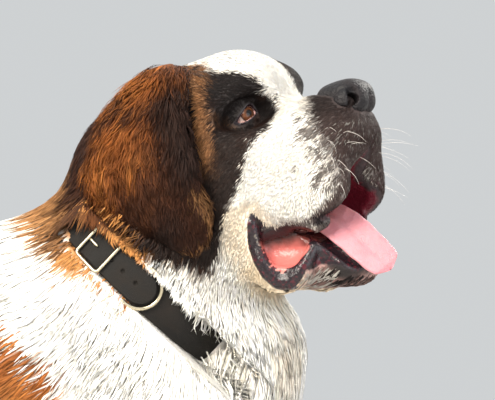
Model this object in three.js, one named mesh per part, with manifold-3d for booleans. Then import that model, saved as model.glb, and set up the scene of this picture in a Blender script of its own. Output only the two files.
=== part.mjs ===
// A Saint Bernard at life size: an adult male that stands on four feet, with its head raised and turned to
// its right, its mouth open and its tongue out, in a wide leather collar.
// Units are millimetres. +X is forward, +Y is the dog's left, +Z is up, and the floor is Z = 0.
// One rounded form, the outline of the coat, is meshed whole and then parted with thin cuts.
import * as THREE from "three";
import { mergeVertices } from "three/addons/utils/BufferGeometryUtils.js";
import Module from "manifold-3d";

const wasm = await Module();
wasm.setup();

// Driving dimensions
const GAP = 0.4; // between neighbouring pieces
const FLESH_TRIANGLES = 3340;
const FOOT_SINK = 6; // how far a pad would reach under the floor before its flat is cut

// The head has a frame of its own: its origin is midway between the eyes, +X runs to the nose and +Z is up.
const HEAD = { at: [425, -60, 906], turn: THREE.MathUtils.degToRad(23), raise: THREE.MathUtils.degToRad(17) };

// The trunk's outline, from rump to chest: its back, its belly and half its width.
const TRUNK = [
  { at: -415, top: 700, bottom: 585, half: 62 },
  { at: -375, top: 745, bottom: 520, half: 120 },
  { at: -300, top: 775, bottom: 468, half: 150 },
  { at: -200, top: 781, bottom: 434, half: 161 },
  { at: -80, top: 778, bottom: 402, half: 174 },
  { at: 40, top: 785, bottom: 378, half: 182 },
  { at: 160, top: 797, bottom: 368, half: 180 },
  { at: 260, top: 780, bottom: 376, half: 166 },
  { at: 350, top: 740, bottom: 412, half: 138 },
  { at: 415, top: 690, bottom: 480, half: 92 },
];

// Legs from the top down: the middle of each section, its reach fore and aft, and its half width.
const FORELEG = [
  { at: 600, x: 205, y: 108, long: 88, half: 66 },
  { at: 500, x: 214, y: 122, long: 84, half: 62 },
  { at: 420, x: 230, y: 124, long: 72, half: 56 },
  { at: 340, x: 245, y: 120, long: 55, half: 47 },
  { at: 250, x: 254, y: 117, long: 45, half: 41 },
  { at: 165, x: 259, y: 115, long: 41, half: 39 },
  { at: 110, x: 264, y: 115, long: 38, half: 38 },
  { at: 60, x: 274, y: 116, long: 42, half: 42 },
  { at: 25, x: 280, y: 116, long: 44, half: 42 },
];
const HINDLEG = [
  { at: 660, x: -322, y: 84, long: 112, half: 62 },
  { at: 570, x: -312, y: 102, long: 124, half: 70 },
  { at: 490, x: -296, y: 110, long: 114, half: 66 },
  { at: 410, x: -288, y: 114, long: 90, half: 58 },
  { at: 345, x: -312, y: 114, long: 69, half: 51 },
  { at: 285, x: -350, y: 111, long: 56, half: 44 },
  { at: 235, x: -382, y: 109, long: 50, half: 38 },
  { at: 190, x: -399, y: 108, long: 45, half: 35 },
  { at: 120, x: -397, y: 108, long: 36, half: 33 },
  { at: 60, x: -390, y: 108, long: 40, half: 38 },
  { at: 25, x: -384, y: 108, long: 42, half: 39 },
];
const FORE_STRIDE = 14; // the right foreleg stands this far ahead, and the left as far back
const HIND_STRIDE = 20; // the left hind leg stands this far ahead, and the right as far back
const TOES = [
  { x: 36, y: -34 },
  { x: 52, y: -12 },
  { x: 52, y: 12 },
  { x: 36, y: 34 },
];

// The tail hangs from the croup to the hocks: points on its middle and its radius.
const TAIL = [
  { x: -385, z: 706, r: 46 },
  { x: -446, z: 656, r: 44 },
  { x: -482, z: 580, r: 46 },
  { x: -497, z: 490, r: 49 },
  { x: -500, z: 400, r: 50 },
  { x: -500, z: 320, r: 46 },
  { x: -506, z: 262, r: 36 },
  { x: -514, z: 222, r: 20 },
];

// The ear flap in the head's frame, from its root down to its tip.
const EAR = [
  { at: 68, x: -74, y: 76, long: 20, half: 8 },
  { at: 46, x: -83, y: 94, long: 40, half: 9 },
  { at: 15, x: -97, y: 105, long: 52, half: 9 },
  { at: -25, x: -105, y: 110, long: 60, half: 9 },
  { at: -62, x: -95, y: 109, long: 48, half: 8 },
  { at: -92, x: -79, y: 106, long: 34, half: 8 },
  { at: -112, x: -75, y: 103, long: 20, half: 7 },
  { at: -123, x: -75, y: 102, long: 5, half: 4 },
];
const EAR_CURL = 6; // how far the flap's edges turn in towards the head
const EAR_TRIANGLES = 170;

const EYE = { at: [-14.5, 36, 0], radius: 12.5 };
const CLAW = { length: 28, radius: 5.5, droop: 10, high: 20 };

// The collar is a loop round the base of the neck, tilted down towards the throat.
const COLLAR = {
  at: [294, -8, 740],
  along: [0.685, 0, 0.7286], // the loop's axis
  deep: 116, // from the middle to the throat or the nape
  half: 118, // from the middle to either side
  width: 38,
  thick: 4,
};

// Distances, negative inside a form

const clamp = (v, low, high) => Math.min(Math.max(v, low), high);

function blend(a, b, reach) {
  const h = Math.max(reach - Math.abs(a - b), 0) / reach;
  return Math.min(a, b) - (h * h * reach) / 4;
}

const carve = (a, b, reach) => -blend(-a, b, reach); // a less b

// An ellipsoid, tilted nose-up by an angle in degrees.
function ball([cx, cy, cz], [rx, ry, rz], tilt = 0) {
  const c = Math.cos(THREE.MathUtils.degToRad(tilt));
  const s = Math.sin(THREE.MathUtils.degToRad(tilt));
  return (x, y, z) => {
    const u = ((x - cx) * c + (z - cz) * s) / rx;
    const v = (y - cy) / ry;
    const w = ((z - cz) * c - (x - cx) * s) / rz;
    const near = Math.hypot(u, v, w);
    const slope = Math.hypot(u / rx, v / ry, w / rz);
    return slope < 1e-9 ? -Math.min(rx, ry, rz) : (near * (near - 1)) / slope;
  };
}

// A box with rounded edges.
function block([cx, cy, cz], [hx, hy, hz], round) {
  return (x, y, z) => {
    const u = Math.abs(x - cx) - hx + round;
    const v = Math.abs(y - cy) - hy + round;
    const w = Math.abs(z - cz) - hz + round;
    const outside = Math.hypot(Math.max(u, 0), Math.max(v, 0), Math.max(w, 0));
    return outside + Math.min(Math.max(u, v, w), 0) - round;
  };
}

// A rod between two points whose radius runs from ra to rb.
function rod([ax, ay, az], [bx, by, bz], ra, rb) {
  const dx = bx - ax;
  const dy = by - ay;
  const dz = bz - az;
  const length2 = dx * dx + dy * dy + dz * dz;
  return (x, y, z) => {
    const t = clamp(((x - ax) * dx + (y - ay) * dy + (z - az) * dz) / length2, 0, 1);
    return Math.hypot(x - ax - t * dx, y - ay - t * dy, z - az - t * dz) - (ra + t * (rb - ra));
  };
}

// Smooth values between named stations. Each key gets a cubic curve through its values.
function stations(rows) {
  const sorted = [...rows].sort((a, b) => a.at - b.at);
  const keys = Object.keys(sorted[0]).filter((k) => k !== "at");
  const last = sorted.length - 1;
  const slopes = sorted.map((_, i) => {
    const before = sorted[Math.max(i - 1, 0)];
    const after = sorted[Math.min(i + 1, last)];
    return Object.fromEntries(keys.map((k) => [k, (after[k] - before[k]) / (after.at - before.at)]));
  });
  return (t) => {
    const at = clamp(t, sorted[0].at, sorted[last].at);
    let i = 0;
    while (i < last - 1 && sorted[i + 1].at < at) i += 1;
    const span = sorted[i + 1].at - sorted[i].at;
    const s = (at - sorted[i].at) / span;
    const found = { past: Math.abs(t - at) };
    for (const k of keys) {
      const a = sorted[i][k];
      const b = sorted[i + 1][k];
      const ma = slopes[i][k] * span;
      const mb = slopes[i + 1][k] * span;
      found[k] = a + s * (ma + s * (3 * (b - a) - 2 * ma - mb + s * (2 * (a - b) + ma + mb)));
    }
    return found;
  };
}

// The distance to a section that is an ellipse, or squarer for a higher power. Past the last station it is
// the distance to that station's end.
function section(u, v, power, size, past) {
  const q = Math.pow(Math.pow(Math.abs(u), power) + Math.pow(Math.abs(v), power), 1 / power);
  const d = (q - 1) * size;
  return past > 0 ? Math.hypot(Math.max(d, 0), past) : d;
}

// The body

const trunkAt = stations(TRUNK);

function barrel(x, y, z) {
  const s = trunkAt(x);
  const high = (s.top - s.bottom) / 2;
  return section(y / s.half, (z - s.bottom - high) / high, 2.3, Math.min(s.half, high), s.past);
}

function limb(rows) {
  const at = stations(rows);
  return (x, y, z) => {
    const s = at(z);
    return section((x - s.x) / s.long, (y - s.y) / s.half, 2, Math.min(s.long, s.half), s.past);
  };
}

function foot(x0, y0) {
  const pad = ball([x0 + 4, y0, 26], [52, 44, 26 + FOOT_SINK]);
  const toes = TOES.map((t) => ball([x0 + t.x, y0 + t.y, 22], [31, 15, 22 + FOOT_SINK], -8));
  return (x, y, z) => toes.reduce((d, toe) => blend(d, toe(x, y, z), 8), pad(x, y, z));
}

const foreLimb = limb(FORELEG);
const hindLimb = limb(HINDLEG);
const foreFoot = foot(FORELEG.at(-1).x + 4, FORELEG.at(-1).y);
const hindFoot = foot(HINDLEG.at(-1).x + 4, HINDLEG.at(-1).y);
const shoulder = ball([205, 92, 560], [112, 68, 165], 12);
const haunch = ball([-306, 88, 590], [116, 76, 150], -8);
const croup = ball([-350, 0, 690], [90, 92, 76], 25);

// Each half of the dog has its own stride.
function legs(x, y, z) {
  const side = y > 0 ? 1 : -1;
  const out = Math.abs(y);
  const xf = x + side * FORE_STRIDE;
  const xh = x - side * HIND_STRIDE;
  const fore = blend(foreLimb(xf, out, z), foreFoot(xf, out, z), 22);
  const hind = blend(hindLimb(xh, out, z), hindFoot(xh, out, z), 22);
  return Math.min(fore, hind);
}

const tailRods = TAIL.slice(1).map((b, i) => rod([TAIL[i].x, 0, TAIL[i].z], [b.x, 0, b.z], TAIL[i].r, b.r));
const tail = (x, y, z) => tailRods.reduce((d, piece) => blend(d, piece(x, y, z), 8), 1e3);

const neckBase = rod([205, 0, 625], [292, -8, 750], 142, 108);
const neckTop = rod([290, -8, 756], [334, -22, 850], 106, 94);
const mane = ball([287, -14, 846], [70, 84, 70]);
const ruffTop = ball([370, -6, 666], [82, 116, 66]);
const ruffLow = ball([358, 0, 588], [92, 130, 128]);

// The coat parts where the collar lies, and closes over it at the nape and under the throat.
const collarAxis = new THREE.Vector3(...COLLAR.along).normalize();
const GROOVE = { half: COLLAR.width / 2 + 4, nape: 128, throat: 33, cover: 10 };
function collarGroove(x, y, z) {
  const [cx, cy, cz] = COLLAR.at;
  const across = (x - cx) * collarAxis.x + (z - cz) * collarAxis.z;
  const down = (x - cx) * collarAxis.z - (z - cz) * collarAxis.x;
  const out = Math.abs(y - cy);
  const angle = THREE.MathUtils.radToDeg(Math.atan2(out, down));
  const covered = Math.max(angle - GROOVE.nape, GROOVE.throat - angle, 0) * GROOVE.cover;
  const depth = Math.hypot(down / COLLAR.deep, out / COLLAR.half) - 1;
  return Math.max(Math.abs(across) - GROOVE.half, covered - depth * COLLAR.half);
}

function body(x, y, z) {
  let d = barrel(x, y, z);
  const out = Math.abs(y);
  d = blend(d, shoulder(x, out, z), 70);
  d = blend(d, haunch(x, out, z), 60);
  d = blend(d, croup(x, y, z), 50);
  d = blend(d, legs(x, y, z), 38);
  const front = blend(blend(neckBase(x, y, z), neckTop(x, y, z), 30), mane(x, y, z), 24);
  const ruff = blend(ruffTop(x, y, z), ruffLow(x, y, z), 50);
  d = blend(d, front, 56);
  d = blend(d, ruff, 60);
  d = carve(d, collarGroove(x, y, z), 12);
  return blend(d, tail(x, y, z), 34);
}

// The head, in its own frame

const [headX, headY, headZ] = HEAD.at;
const turnCos = Math.cos(HEAD.turn);
const turnSin = Math.sin(HEAD.turn);
const raiseCos = Math.cos(HEAD.raise);
const raiseSin = Math.sin(HEAD.raise);

function toHead(x, y, z) {
  const ahead = (x - headX) * turnCos - (y - headY) * turnSin;
  const left = (x - headX) * turnSin + (y - headY) * turnCos;
  const up = z - headZ;
  return [ahead * raiseCos + up * raiseSin, left, up * raiseCos - ahead * raiseSin];
}

function fromHead([hx, hy, hz]) {
  const ahead = hx * raiseCos - hz * raiseSin;
  const up = hx * raiseSin + hz * raiseCos;
  return [headX + ahead * turnCos + hy * turnSin, headY - ahead * turnSin + hy * turnCos, headZ + up];
}

// Joined one by one: [distance, how far it blends]. The second list is mirrored to both sides.
const SKULL_MIDDLE = [
  [ball([-78, 0, -2], [90, 80, 74]), 30],
  [ball([-30, 0, 19], [57, 60, 54]), 30],
  [ball([-88, 0, -95], [72, 70, 80]), 40],
  [block([44, 0, -34], [54, 31, 35], 24), 26],
  [ball([56, 0, -48], [42, 43, 32]), 20],
];
const SKULL_SIDES = [
  [ball([-2, 32, 26], [28, 25, 25]), 16],
  [ball([-40, 54, -30], [60, 35, 46]), 30],
  [ball([-64, 44, -82], [60, 42, 62]), 34],
  [ball([35, 28, -48], [55, 32, 44]), 22],
  [ball([29, 41, -82], [54, 23, 56], 14), 18],
  [ball([-70, 70, 40], [40, 24, 24]), 22],
];
const mouth = ball([28, 0, -118], [66, 42, 42], -8);
const JAW_SIDES = [
  [rod([-66, 34, -124], [42, 17, -167], 35, 20), 20],
  [ball([-12, 47, -152], [33, 15, 33], 10), 16],
];
const JAW_MIDDLE = [
  [ball([-14, 0, -156], [62, 36, 24], -14), 16],
  [ball([44, 0, -168], [21, 33, 20]), 16],
];
const lipOpening = ball([4, 56, -140], [30, 17, 17], -14);
const orbit = ball([5, 61, -2], [30, 29, 15], 12);

// The split of the upper lip under the nose, which widens downwards.
const lipSplit = (x, out, z) => Math.max(0.76 * out + 0.65 * (z + 68), 52 - x);

const join = (pieces, d, x, y, z) => pieces.reduce((e, [piece, reach]) => blend(e, piece(x, y, z), reach), d);

function head(wx, wy, wz) {
  const [x, y, z] = toHead(wx, wy, wz);
  const out = Math.abs(y);
  let upper = join(SKULL_MIDDLE, 1e3, x, y, z);
  upper = join(SKULL_SIDES, upper, x, out, z);
  upper = carve(upper, Math.min(mouth(x, y, z), lipSplit(x, out, z)), 8);
  upper = carve(upper, orbit(x, out, z), 14);
  let jaw = join(JAW_MIDDLE, 1e3, x, y, z);
  jaw = join(JAW_SIDES, jaw, x, out, z);
  return carve(blend(upper, jaw, 8), lipOpening(x, out, z), 6);
}

const whole = (x, y, z) => blend(body(x, y, z), head(x, y, z), 34);

const earAt = stations(EAR);
function earFlap(side) {
  return (wx, wy, wz) => {
    const [x, y, z] = toHead(wx, wy, wz);
    const s = earAt(z);
    const u = (x - s.x) / s.long;
    const middle = s.y - EAR_CURL * Math.min(u * u, 1.5);
    return section(u, (side * y - middle) / s.half, 2.4, s.half, s.past);
  };
}

const nosePad = block([81.5, 0, -15.5], [24.5, 29, 20.5], 14);
const NOSTRIL = [ball([102, 15.5, -19], [10, 6.5, 10]), rod([94, 20, -26], [78, 31, -23], 4, 3)];
function nose(wx, wy, wz) {
  const [x, y, z] = toHead(wx, wy, wz);
  const out = Math.abs(y);
  return NOSTRIL.reduce((d, hole) => carve(d, hole(x, out, z), 4), nosePad(x, y, z));
}

// Meshing

// Grid lines from low to high, with a step for each stretch: [end, step] in order.
function lines(low, stretches) {
  const found = [low];
  for (const [end, step] of stretches) {
    const start = found.at(-1);
    const count = Math.ceil((end - start) / step);
    for (let i = 1; i <= count; i += 1) found.push(start + ((end - start) * i) / count);
  }
  return found;
}

// A cell's corners are numbered by their place in x, y and z, and its edges join corners one bit apart.
const CORNERS = [0, 1, 2, 3, 4, 5, 6, 7].map((c) => [c & 1, (c >> 1) & 1, c >> 2]);
const EDGES = [1, 2, 4].flatMap((bit) =>
  [0, 1, 2, 3, 4, 5, 6, 7].filter((corner) => !(corner & bit)).map((corner) => [corner, corner | bit]),
);
const SIDES = [
  [0, 1, 3, 2],
  [4, 5, 7, 6],
  [0, 1, 5, 4],
  [2, 3, 7, 6],
  [0, 2, 6, 4],
  [1, 3, 7, 5],
];
const edgeOf = (a, b) => EDGES.findIndex((e) => e.includes(a) && e.includes(b));

// For each pattern of corners inside the form: which patch of surface each crossed edge belongs to.
const PATCHES = Array.from({ length: 256 }, (_, mask) => {
  const inside = (corner) => (mask >> corner) & 1;
  const patch = EDGES.map(([a, b], i) => (inside(a) === inside(b) ? -1 : i));
  const link = (e, f) => {
    const [keep, drop] = [patch[e], patch[f]];
    patch.forEach((value, i) => (patch[i] = value === drop ? keep : value));
  };
  for (const side of SIDES) {
    const crossed = side.map((c, i) => edgeOf(c, side[(i + 1) % 4])).filter((e) => patch[e] >= 0);
    if (crossed.length === 2) link(...crossed);
    if (crossed.length === 4) {
      side.forEach((c, i) => {
        if (inside(c)) link(edgeOf(side[(i + 3) % 4], c), edgeOf(c, side[(i + 1) % 4]));
      });
    }
  }
  const names = [...new Set(patch.filter((value) => value >= 0))];
  return { count: names.length, of: patch.map((value) => names.indexOf(value)) };
});

// The surface where the distance is zero, with a point for each patch of it in each cell.
function surface(distance, xs, ys, zs) {
  const [nx, ny, nz] = [xs.length, ys.length, zs.length];
  const node = (i, j, k) => (k * ny + j) * nx + i;
  const values = new Float32Array(nx * ny * nz).fill(1);
  const each = (from, visit) => {
    for (let k = from; k < nz - 1; k += 1) {
      for (let j = from; j < ny - 1; j += 1) {
        for (let i = from; i < nx - 1; i += 1) visit(i, j, k);
      }
    }
  };
  each(1, (i, j, k) => (values[node(i, j, k)] = distance(xs[i], ys[j], zs[k])));
  const points = [];
  const faces = [];
  const first = new Int32Array(nx * ny * nz);
  const masks = new Uint8Array(nx * ny * nz);
  each(0, (i, j, k) => {
    const cell = node(i, j, k);
    const at = CORNERS.map(([a, b, c]) => values[node(i + a, j + b, k + c)]);
    masks[cell] = at.reduce((mask, value, corner) => mask | ((value < 0) << corner), 0);
    first[cell] = points.length;
    const patches = PATCHES[masks[cell]];
    for (let patch = 0; patch < patches.count; patch += 1) {
      const sum = [0, 0, 0];
      let count = 0;
      EDGES.forEach(([a, b], edge) => {
        if (patches.of[edge] !== patch) return;
        const t = at[a] / (at[a] - at[b]);
        const grids = [[xs, i], [ys, j], [zs, k]];
        grids.forEach(([grid, index], axis) => {
          sum[axis] += grid[index + CORNERS[a][axis]] * (1 - t) + grid[index + CORNERS[b][axis]] * t;
        });
        count += 1;
      });
      points.push(sum.map((total) => total / count));
    }
  });
  // Around a crossed grid edge lie four cells. Each is given by its steps back from the edge's own.
  const TURNS = [
    [0, [[0, 0, 0], [0, 1, 0], [0, 1, 1], [0, 0, 1]]],
    [1, [[0, 0, 0], [0, 0, 1], [1, 0, 1], [1, 0, 0]]],
    [2, [[0, 0, 0], [1, 0, 0], [1, 1, 0], [0, 1, 0]]],
  ];
  each(1, (i, j, k) => {
    const inside = values[node(i, j, k)] < 0;
    for (const [axis, turn] of TURNS) {
      const step = 1 << axis;
      const beyond = values[node(i + (axis === 0), j + (axis === 1), k + (axis === 2))] < 0;
      if (inside === beyond) continue;
      const ring = turn.map(([a, b, c]) => {
        const cell = node(i - a, j - b, k - c);
        const corner = a + 2 * b + 4 * c;
        return first[cell] + PATCHES[masks[cell]].of[edgeOf(corner, corner + step)];
      });
      const [a, b, c, d] = inside ? ring : ring.reverse();
      faces.push([a, b, c], [a, c, d]);
    }
  });
  return { points, faces };
}

// Thins a closed mesh to a number of triangles. It joins the edge whose loss changes the shape least, and
// importance(x, y, z) says how much a change there counts.
function thin({ points, faces }, target, importance = () => 1) {
  const at = points.map((p) => new THREE.Vector3(...p));
  const around = at.map(() => new Set());
  faces.forEach((f, i) => f.forEach((v) => around[v].add(i)));
  const quadrics = at.map(() => new Float64Array(10));
  const normal = new THREE.Vector3();
  const side = new THREE.Vector3();
  const measure = (a, b, c) => normal.subVectors(b, a).cross(side.subVectors(c, a)).length() / 2;
  for (const [a, b, c] of faces) {
    const area = measure(at[a], at[b], at[c]);
    if (area < 1e-9) continue;
    normal.normalize();
    const d = -normal.dot(at[a]);
    const n = [normal.x, normal.y, normal.z, d];
    const weight = area * importance(at[a].x, at[a].y, at[a].z);
    for (const v of [a, b, c]) {
      let slot = 0;
      for (let i = 0; i < 4; i += 1) {
        for (let j = i; j < 4; j += 1) {
          quadrics[v][slot] += weight * n[i] * n[j];
          slot += 1;
        }
      }
    }
  }
  const cost = (q, p) =>
    q[0] * p.x * p.x + 2 * q[1] * p.x * p.y + 2 * q[2] * p.x * p.z + 2 * q[3] * p.x +
    q[4] * p.y * p.y + 2 * q[5] * p.y * p.z + 2 * q[6] * p.y +
    q[7] * p.z * p.z + 2 * q[8] * p.z + q[9];
  const best = (u, v) => {
    const q = quadrics[u].map((value, i) => value + quadrics[v][i]);
    const middle = at[u].clone().add(at[v]).multiplyScalar(0.5);
    const tries = [at[u], at[v], middle];
    const m = new THREE.Matrix3().set(q[0], q[1], q[2], q[1], q[4], q[5], q[2], q[5], q[7]);
    if (Math.abs(m.determinant()) > 1e-3 * (q[0] + q[4] + q[7]) ** 3) {
      const exact = new THREE.Vector3(-q[3], -q[6], -q[8]).applyMatrix3(m.invert());
      if (exact.distanceTo(middle) < at[u].distanceTo(at[v])) tries.push(exact);
    }
    const found = tries.map((p) => ({ p, value: cost(q, p) })).sort((a, b) => a.value - b.value)[0];
    return { u, v, p: found.p.clone(), value: found.value + 1e-4 * at[u].distanceToSquared(at[v]), q };
  };
  const heap = [];
  const swap = (i, j) => ([heap[i], heap[j]] = [heap[j], heap[i]]);
  const push = (item) => {
    let i = heap.push(item) - 1;
    while (i > 0 && heap[(i - 1) >> 1].value > heap[i].value) {
      swap(i, (i - 1) >> 1);
      i = (i - 1) >> 1;
    }
  };
  const pop = () => {
    swap(0, heap.length - 1);
    const top = heap.pop();
    for (let i = 0; ; ) {
      let least = i;
      for (const child of [2 * i + 1, 2 * i + 2]) {
        if (child < heap.length && heap[child].value < heap[least].value) least = child;
      }
      if (least === i) return top;
      swap(i, least);
      i = least;
    }
  };
  const stamp = new Uint32Array(at.length);
  const neighbours = (v) => new Set([...around[v]].flatMap((f) => faces[f]).filter((w) => w !== v));
  const offer = (u, v) => push({ ...best(u, v), su: stamp[u], sv: stamp[v] });
  at.forEach((_, u) => neighbours(u).forEach((v) => u < v && offer(u, v)));
  const before = new THREE.Vector3();
  const turns = (v, other, p) =>
    [...around[v]].some((f) => {
      if (faces[f].includes(other)) return false;
      measure(...faces[f].map((w) => at[w]));
      before.copy(normal).normalize();
      measure(...faces[f].map((w) => (w === v ? p : at[w])));
      return before.dot(normal) < 0.25 * normal.length() || normal.length() < 1e-6;
    });
  let left = faces.length;
  while (left > target && heap.length) {
    const { u, v, p, q, su, sv } = pop();
    if (stamp[u] !== su || stamp[v] !== sv || !around[u].size || !around[v].size) continue;
    const beside = neighbours(v);
    const shared = [...neighbours(u)].filter((w) => beside.has(w));
    if (shared.length !== 2 || turns(u, v, p) || turns(v, u, p)) continue;
    for (const f of [...around[v]]) {
      if (faces[f].includes(u)) {
        faces[f].forEach((w) => around[w].delete(f));
        faces[f] = null;
        left -= 1;
      } else {
        faces[f] = faces[f].map((w) => (w === v ? u : w));
        around[u].add(f);
      }
    }
    around[v].clear();
    at[u].copy(p);
    quadrics[u] = q;
    stamp[u] += 1;
    stamp[v] += 1;
    neighbours(u).forEach((w) => offer(u, w));
  }
  return { points: at.map((p) => p.toArray()), faces: faces.filter(Boolean) };
}

// Solids

function solid({ points, faces }) {
  const vertProperties = new Float32Array(points.flat());
  const triVerts = new Uint32Array(faces.flat());
  return new wasm.Manifold(new wasm.Mesh({ numProp: 3, vertProperties, triVerts }));
}

// The points and faces of a three.js geometry, its shared points merged.
function listsOf(geometry) {
  const bare = geometry.clone();
  bare.deleteAttribute("normal");
  bare.deleteAttribute("uv");
  const merged = mergeVertices(bare, 1e-4);
  const place = merged.getAttribute("position");
  const points = Array.from({ length: place.count }, (_, i) => [place.getX(i), place.getY(i), place.getZ(i)]);
  const faces = [];
  for (let i = 0; i < merged.index.count; i += 3) {
    const f = [0, 1, 2].map((j) => merged.index.getX(i + j));
    if (new Set(f).size === 3) faces.push(f);
  }
  return { points, faces };
}

// The same mesh grown on every side, to cut room for a piece in its neighbour. Points at sharp edges move
// further.
function grown({ points, faces }, amount) {
  const at = points.map((p) => new THREE.Vector3(...p));
  const normals = faces.map(([a, b, c]) => at[b].clone().sub(at[a]).cross(at[c].clone().sub(at[a])));
  const outward = at.map(() => new THREE.Vector3());
  normals.forEach((n) => n.normalize());
  faces.forEach((f, i) => f.forEach((v) => outward[v].add(normals[i])));
  outward.forEach((n) => n.normalize());
  const flattest = at.map(() => 1);
  faces.forEach((f, i) => {
    for (const v of f) flattest[v] = Math.min(flattest[v], normals[i].dot(outward[v]));
  });
  const moved = at.map((p, i) => p.addScaledVector(outward[i], amount / Math.max(flattest[i], 0.35)));
  return { points: moved.map((p) => p.toArray()), faces };
}

function geometryOf(made) {
  const mesh = made.getMesh();
  const place = new Float32Array(mesh.numVert * 3);
  for (let i = 0; i < mesh.numVert; i += 1) {
    place.set(mesh.vertProperties.subarray(i * mesh.numProp, i * mesh.numProp + 3), i * 3);
  }
  return new THREE.BufferGeometry()
    .setAttribute("position", new THREE.BufferAttribute(place, 3))
    .setIndex(new THREE.BufferAttribute(new Uint32Array(mesh.triVerts), 1));
}

const biggest = (made) => made.decompose().sort((a, b) => b.volume() - a.volume())[0];

// The part of space in front of every plane, each given as a normal and a point. shift moves the planes out.
function region(planes, shift) {
  let found = solid(listsOf(new THREE.BoxGeometry(4000, 4000, 4000)));
  for (const [normal, point] of planes) {
    const n = new THREE.Vector3(...normal).normalize();
    found = found.trimByPlane(n.toArray(), n.dot(new THREE.Vector3(...point)) - shift);
  }
  return found;
}

// Cuts a solid in two with a thin gap: what lies in the region, and the rest.
const part = (made, planes) => [
  biggest(made.intersect(region(planes, -GAP / 2))),
  biggest(made.subtract(region(planes, GAP / 2))),
];

const headDirection = (v) => {
  const [ox, oy, oz] = fromHead([0, 0, 0]);
  const [x, y, z] = fromHead(v);
  return [x - ox, y - oy, z - oz];
};

// Small pieces

// A closed ring or an open run of sections, each a list of points in the same order, with flat ends.
function loft(rings, closed = false) {
  const size = rings[0].length;
  const points = rings.flat();
  const faces = [];
  const count = closed ? rings.length : rings.length - 1;
  for (let i = 0; i < count; i += 1) {
    const next = (i + 1) % rings.length;
    for (let j = 0; j < size; j += 1) {
      const k = (j + 1) % size;
      const [a, b, c, d] = [i * size + j, i * size + k, next * size + k, next * size + j];
      faces.push([a, b, c], [a, c, d]);
    }
  }
  if (!closed) {
    const end = (rings.length - 1) * size;
    for (let j = 1; j < size - 1; j += 1) faces.push([0, j + 1, j], [end, end + j, end + j + 1]);
  }
  const turned = faces.map(([a, b, c]) => [a, c, b]);
  return { points, faces: solid({ points, faces }).volume() > 0 ? faces : turned };
}

// A claw grows from the front of a toe and curves down to a blunt point.
function claw(x0, y0, tilt) {
  const profile = [
    [0, 0],
    [CLAW.radius, 0],
    [CLAW.radius * 0.7, CLAW.length * 0.65],
    [0, CLAW.length],
  ];
  const turned = new THREE.LatheGeometry(profile.map(([r, h]) => new THREE.Vector2(r, h)), 5);
  turned.rotateZ(-Math.PI / 2); // from +Y to +X
  const { points, faces } = listsOf(turned);
  const bent = points.map(([x, y, z]) => {
    const t = x / CLAW.length;
    return [x0 + x, y0 + y * 0.8 + x * tilt, CLAW.high + z - CLAW.droop * t * t - 2 * t];
  });
  return { points: bent, faces };
}

// The tongue's middle line in the head's frame, with its half width and how far it has rolled to the side.
const TONGUE = [
  { at: 0, x: -40, y: 0, z: -131, half: 20, roll: 0 },
  { at: 1, x: 0, y: -4, z: -121, half: 20.5, roll: 10 },
  { at: 2, x: 32, y: -13, z: -118, half: 21.5, roll: 36 },
  { at: 3, x: 52.5, y: -19, z: -135, half: 21.5, roll: 48 },
  { at: 4, x: 69.5, y: -21, z: -158.5, half: 20, roll: 54 },
  { at: 5, x: 83.5, y: -20, z: -180.5, half: 17, roll: 56 },
  { at: 5.5, x: 87.5, y: -19, z: -188, half: 8, roll: 56 },
];
const TONGUE_THICK = 9;
const TONGUE_TROUGH = 2.5; // how far its middle dips

function tongue() {
  const at = stations(TONGUE);
  const sides = 8;
  const rings = [];
  for (let t = 0; t <= 5.5; t += 0.5) {
    const s = at(t);
    const ahead = at(Math.min(t + 0.1, 5.5));
    const back = at(Math.max(t - 0.1, 0));
    const along = new THREE.Vector3(ahead.x - back.x, ahead.y - back.y, ahead.z - back.z).normalize();
    const across = new THREE.Vector3(0, 1, 0).addScaledVector(along, -along.y).normalize();
    across.applyAxisAngle(along, THREE.MathUtils.degToRad(s.roll));
    const up = across.clone().cross(along).multiplyScalar(-1);
    const thick = (TONGUE_THICK / 2) * Math.min(1, s.half / 16);
    rings.push(
      Array.from({ length: sides }, (_, i) => {
        const a = (2 * Math.PI * i) / sides;
        const w = s.half * Math.cos(a);
        const trough = Math.sin(a) > 0 ? TONGUE_TROUGH * Math.sin(a) ** 2 : 0;
        const h = thick * Math.sin(a) - trough;
        const p = new THREE.Vector3(s.x, s.y, s.z).addScaledVector(across, w).addScaledVector(up, h);
        return fromHead(p.toArray());
      }),
    );
  }
  return loft(rings);
}

// Collar pieces are laid out flat and wrapped round the loop: an angle from the throat round the dog's right
// side to the nape, a place across the band, and a height over the band's inner face.
const loopDown = new THREE.Vector3(collarAxis.z, 0, -collarAxis.x);
function onLoop(angle, across, height) {
  const a = THREE.MathUtils.degToRad(angle);
  const out = new THREE.Vector2(Math.cos(a) * COLLAR.half, Math.sin(a) * COLLAR.deep).normalize();
  const p = new THREE.Vector3(...COLLAR.at)
    .addScaledVector(loopDown, COLLAR.deep * Math.cos(a) + height * out.x)
    .addScaledVector(collarAxis, across);
  p.y -= COLLAR.half * Math.sin(a) + height * out.y;
  return p.toArray();
}
const MM_PER_DEGREE = (Math.PI * (COLLAR.deep + COLLAR.half)) / 360;

function band() {
  const rings = [];
  const half = COLLAR.width / 2;
  for (let a = 0; a < 360; a += 12) {
    const corners = [[-half, 0], [half, 0], [half, COLLAR.thick], [-half, COLLAR.thick]];
    rings.push(corners.map(([across, height]) => onLoop(a, across, height)));
  }
  return loft(rings, true);
}

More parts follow.
